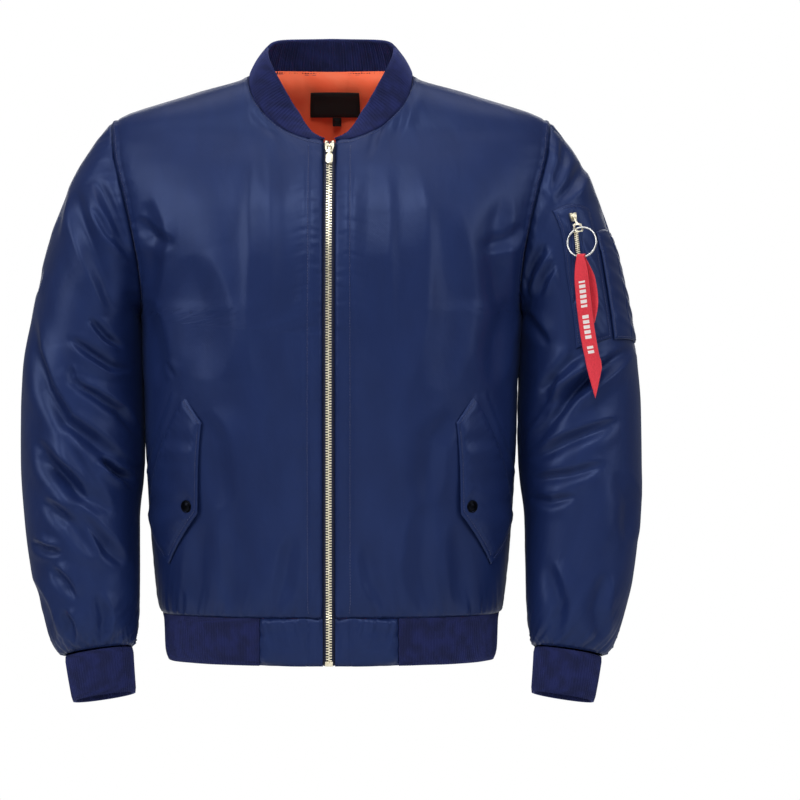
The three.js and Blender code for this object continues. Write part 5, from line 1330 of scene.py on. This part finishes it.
for name, node, body in (
    ("zip_slider_cast", "zip_slider", "jacket"), ("zip_pull_cast", "zip_pull", "main_pull"),
    ("zip_stop_left_cast", "zip_stop_left", "jacket"), ("zip_stop_right_cast", "zip_stop_right", "jacket"),
    ("zip_box_cast", "zip_box", "jacket"), ("sleeve_zip_slider_cast", "sleeve_zip_slider", "jacket"),
    ("sleeve_zip_pull_cast", "sleeve_zip_pull", "sleeve_pull"),
):
    polished(name, node, "metal", "zip_metal", body)

# Each tape's edge goes in under the front's
tapeZ = np.linspace(garment["band"] + 0.2, -garment["neckDrop"] - 1.6, 70)
tapeX, tapeHeight = np.meshgrid(np.linspace(0.4, 9.6, 9), tapeZ)
tapeBase = bodyAt(tapeX, tapeHeight, -1)
tapeBase = tapeBase - bodyNormal(tapeBase, -1) * mix(1.2, 3.5, fade((tapeX - 4.2) / 2))[..., None]
for side, base in (("left", tapeBase), ("right", mirrored(tapeBase))):
    clothSheet(f"zip_tape_{side}_weave", base, "zipTape", "zip_tape", 0.7, replaces=[f"zip_tape_{side}"])
print("zips made")

# Split ring of two turns of spring wire, and the streamer looped through it
ring = dict(radius=16.5, wire=0.62, climb=1.24, turns=2, turned=42, tilt=15, lean=0.13, swing=18,
            pull=20, hole=3.9, rim=1.3, bar=2.6, scale=0.8)
zipHead, zipBelow = np.array(patch["zipFrom"]), np.array(patch["zipFrom"] + 0.03)
barNormal = sleeveNormal(zipHead, zipAngle(zipHead))
barPlace = plainSleeve(zipHead, zipAngle(zipHead)) + barNormal * patch["lift"]
barDown = plainSleeve(zipBelow, zipAngle(zipBelow)) + sleeveNormal(zipBelow, zipAngle(zipBelow)) * patch["lift"]
barDown = unit(barDown - barPlace)
barSide = unit(np.cross(barNormal, barDown))
barPlace = barPlace + barNormal * ((ring["bar"] + 4) * ring["scale"] + garment["seam"])
holeDown = ring["pull"] - ring["hole"] - ring["rim"]
tilt, turned = math.radians(ring["tilt"]), math.radians(ring["turned"])
ringTop = barPlace + barDown * holeDown * math.cos(tilt) + barNormal * holeDown * math.sin(tilt)
plumb = np.array([0.0, 0, -1])
ringAcross = unit((barSide * math.cos(turned) + barNormal * math.sin(turned)) * [1, 1, 0])
ringFace = unit(np.cross(ringAcross, plumb))
ringFace = ringFace if ringFace @ barNormal > 0 else -ringFace
hang, swing = unit(plumb + ringFace * ring["lean"]), math.radians(ring["swing"])
ringMiddle = ringTop + (hang * math.cos(swing) + ringAcross * math.sin(swing)) * ring["radius"]

bm = bmesh.new()
steps = 56 * ring["turns"]
bmesh.ops.create_circle(bm, segments=12, radius=ring["wire"], matrix=(
    Matrix.Translation((ring["radius"], 0, -ring["climb"] / 2)) @ Matrix.Diagonal((1.6, 1, 1, 1))
    @ Matrix.Rotation(math.radians(90), 4, "X")))
bmesh.ops.spin(bm, geom=bm.verts[:] + bm.edges[:], cent=(0, 0, 0), axis=(0, 0, 1), use_merge=False,
               dvec=(0, 0, ring["climb"] / steps), angle=2 * math.pi * ring["turns"], steps=steps)
bmesh.ops.holes_fill(bm, edges=bm.edges, sides=0)
bmesh.ops.recalc_face_normals(bm, faces=bm.faces)
turn = Matrix(np.array([ringAcross, -hang, np.cross(ringAcross, -hang)]).T.tolist()).to_4x4()
turn.translation = Vector(ringMiddle)
bmesh.ops.transform(bm, matrix=Matrix.Scale(mm, 4) @ turn @ Matrix.Rotation(math.radians(35), 4, "Z"), verts=bm.verts)
mesh = bpy.data.meshes.new("split_ring_wire")
bm.to_mesh(mesh)
bm.free()
place("split_ring_wire", mesh, "steel", "ring_steel", "sleeve_pull", ["split_ring"])

# Places on the streamer from the ring's foot: sideways, down and outwards, with its half width
ribbonPath = [
    dict(k=0, drift=6.5, down=72, out=-2.2, half=8), dict(k=1, drift=10, down=50, out=-3.4, half=8.2),
    dict(k=2, drift=7, down=24, out=-3.6, half=8), dict(k=3, drift=2, down=8, out=-2.8, half=6),
    dict(k=4, drift=0, down=1, out=-2.3, half=4.6), dict(k=5, drift=0, down=-1.6, out=-1.9, half=4.4),
    dict(k=6, drift=0, down=-2.9, out=0, half=4.4), dict(k=7, drift=0, down=-1.6, out=1.9, half=4.4),
    dict(k=8, drift=0, down=1, out=2.3, half=4.6), dict(k=9, drift=0.5, down=9, out=2.4, half=6.5),
    dict(k=10, drift=1.5, down=26, out=2, half=8.2), dict(k=11, drift=3.5, down=50, out=1, half=8.6),
    dict(k=12, drift=6.5, down=76, out=0, half=8.7), dict(k=13, drift=13, down=110, out=0.2, half=8.6),
    dict(k=14, drift=20.5, down=138, out=1, half=3.8),
]
k = np.interp(np.linspace(0, 1, 150), [0, 0.28, 0.4, 1], [0, 4, 9, 14])
at = {name: curveOf(ribbonPath, "k", name)(k) for name in ("drift", "down", "out", "half")}
over = np.linspace(-1, 1, 13)
spine = ringMiddle + hang * ring["radius"] + at["down"][:, None] * plumb
spine = spine + at["out"][:, None] * ringFace + at["drift"][:, None] * ringAcross
cup = 0.35 * ripple(at["down"][:, None], 44, 501) + 0.7 * (over**2 - 0.5) * fade(at["down"][:, None] / 30)
ribbonPoints = spine[:, None] + ringAcross * (over * at["half"][:, None])[..., None] + ringFace * cup[..., None]
slant = np.clip(k - 13, 0, 1)[:, None] * 17 * over
ribbonPoints[..., 2] += slant
clothSheet("streamer_cloth", ribbonPoints, "ribbon", "streamer_tape", 0.8, across=over * at["half"][:, None],
                    rests=["split_ring_wire"], body="sleeve_pull", replaces=["ribbon"])
print("ring and streamer made")
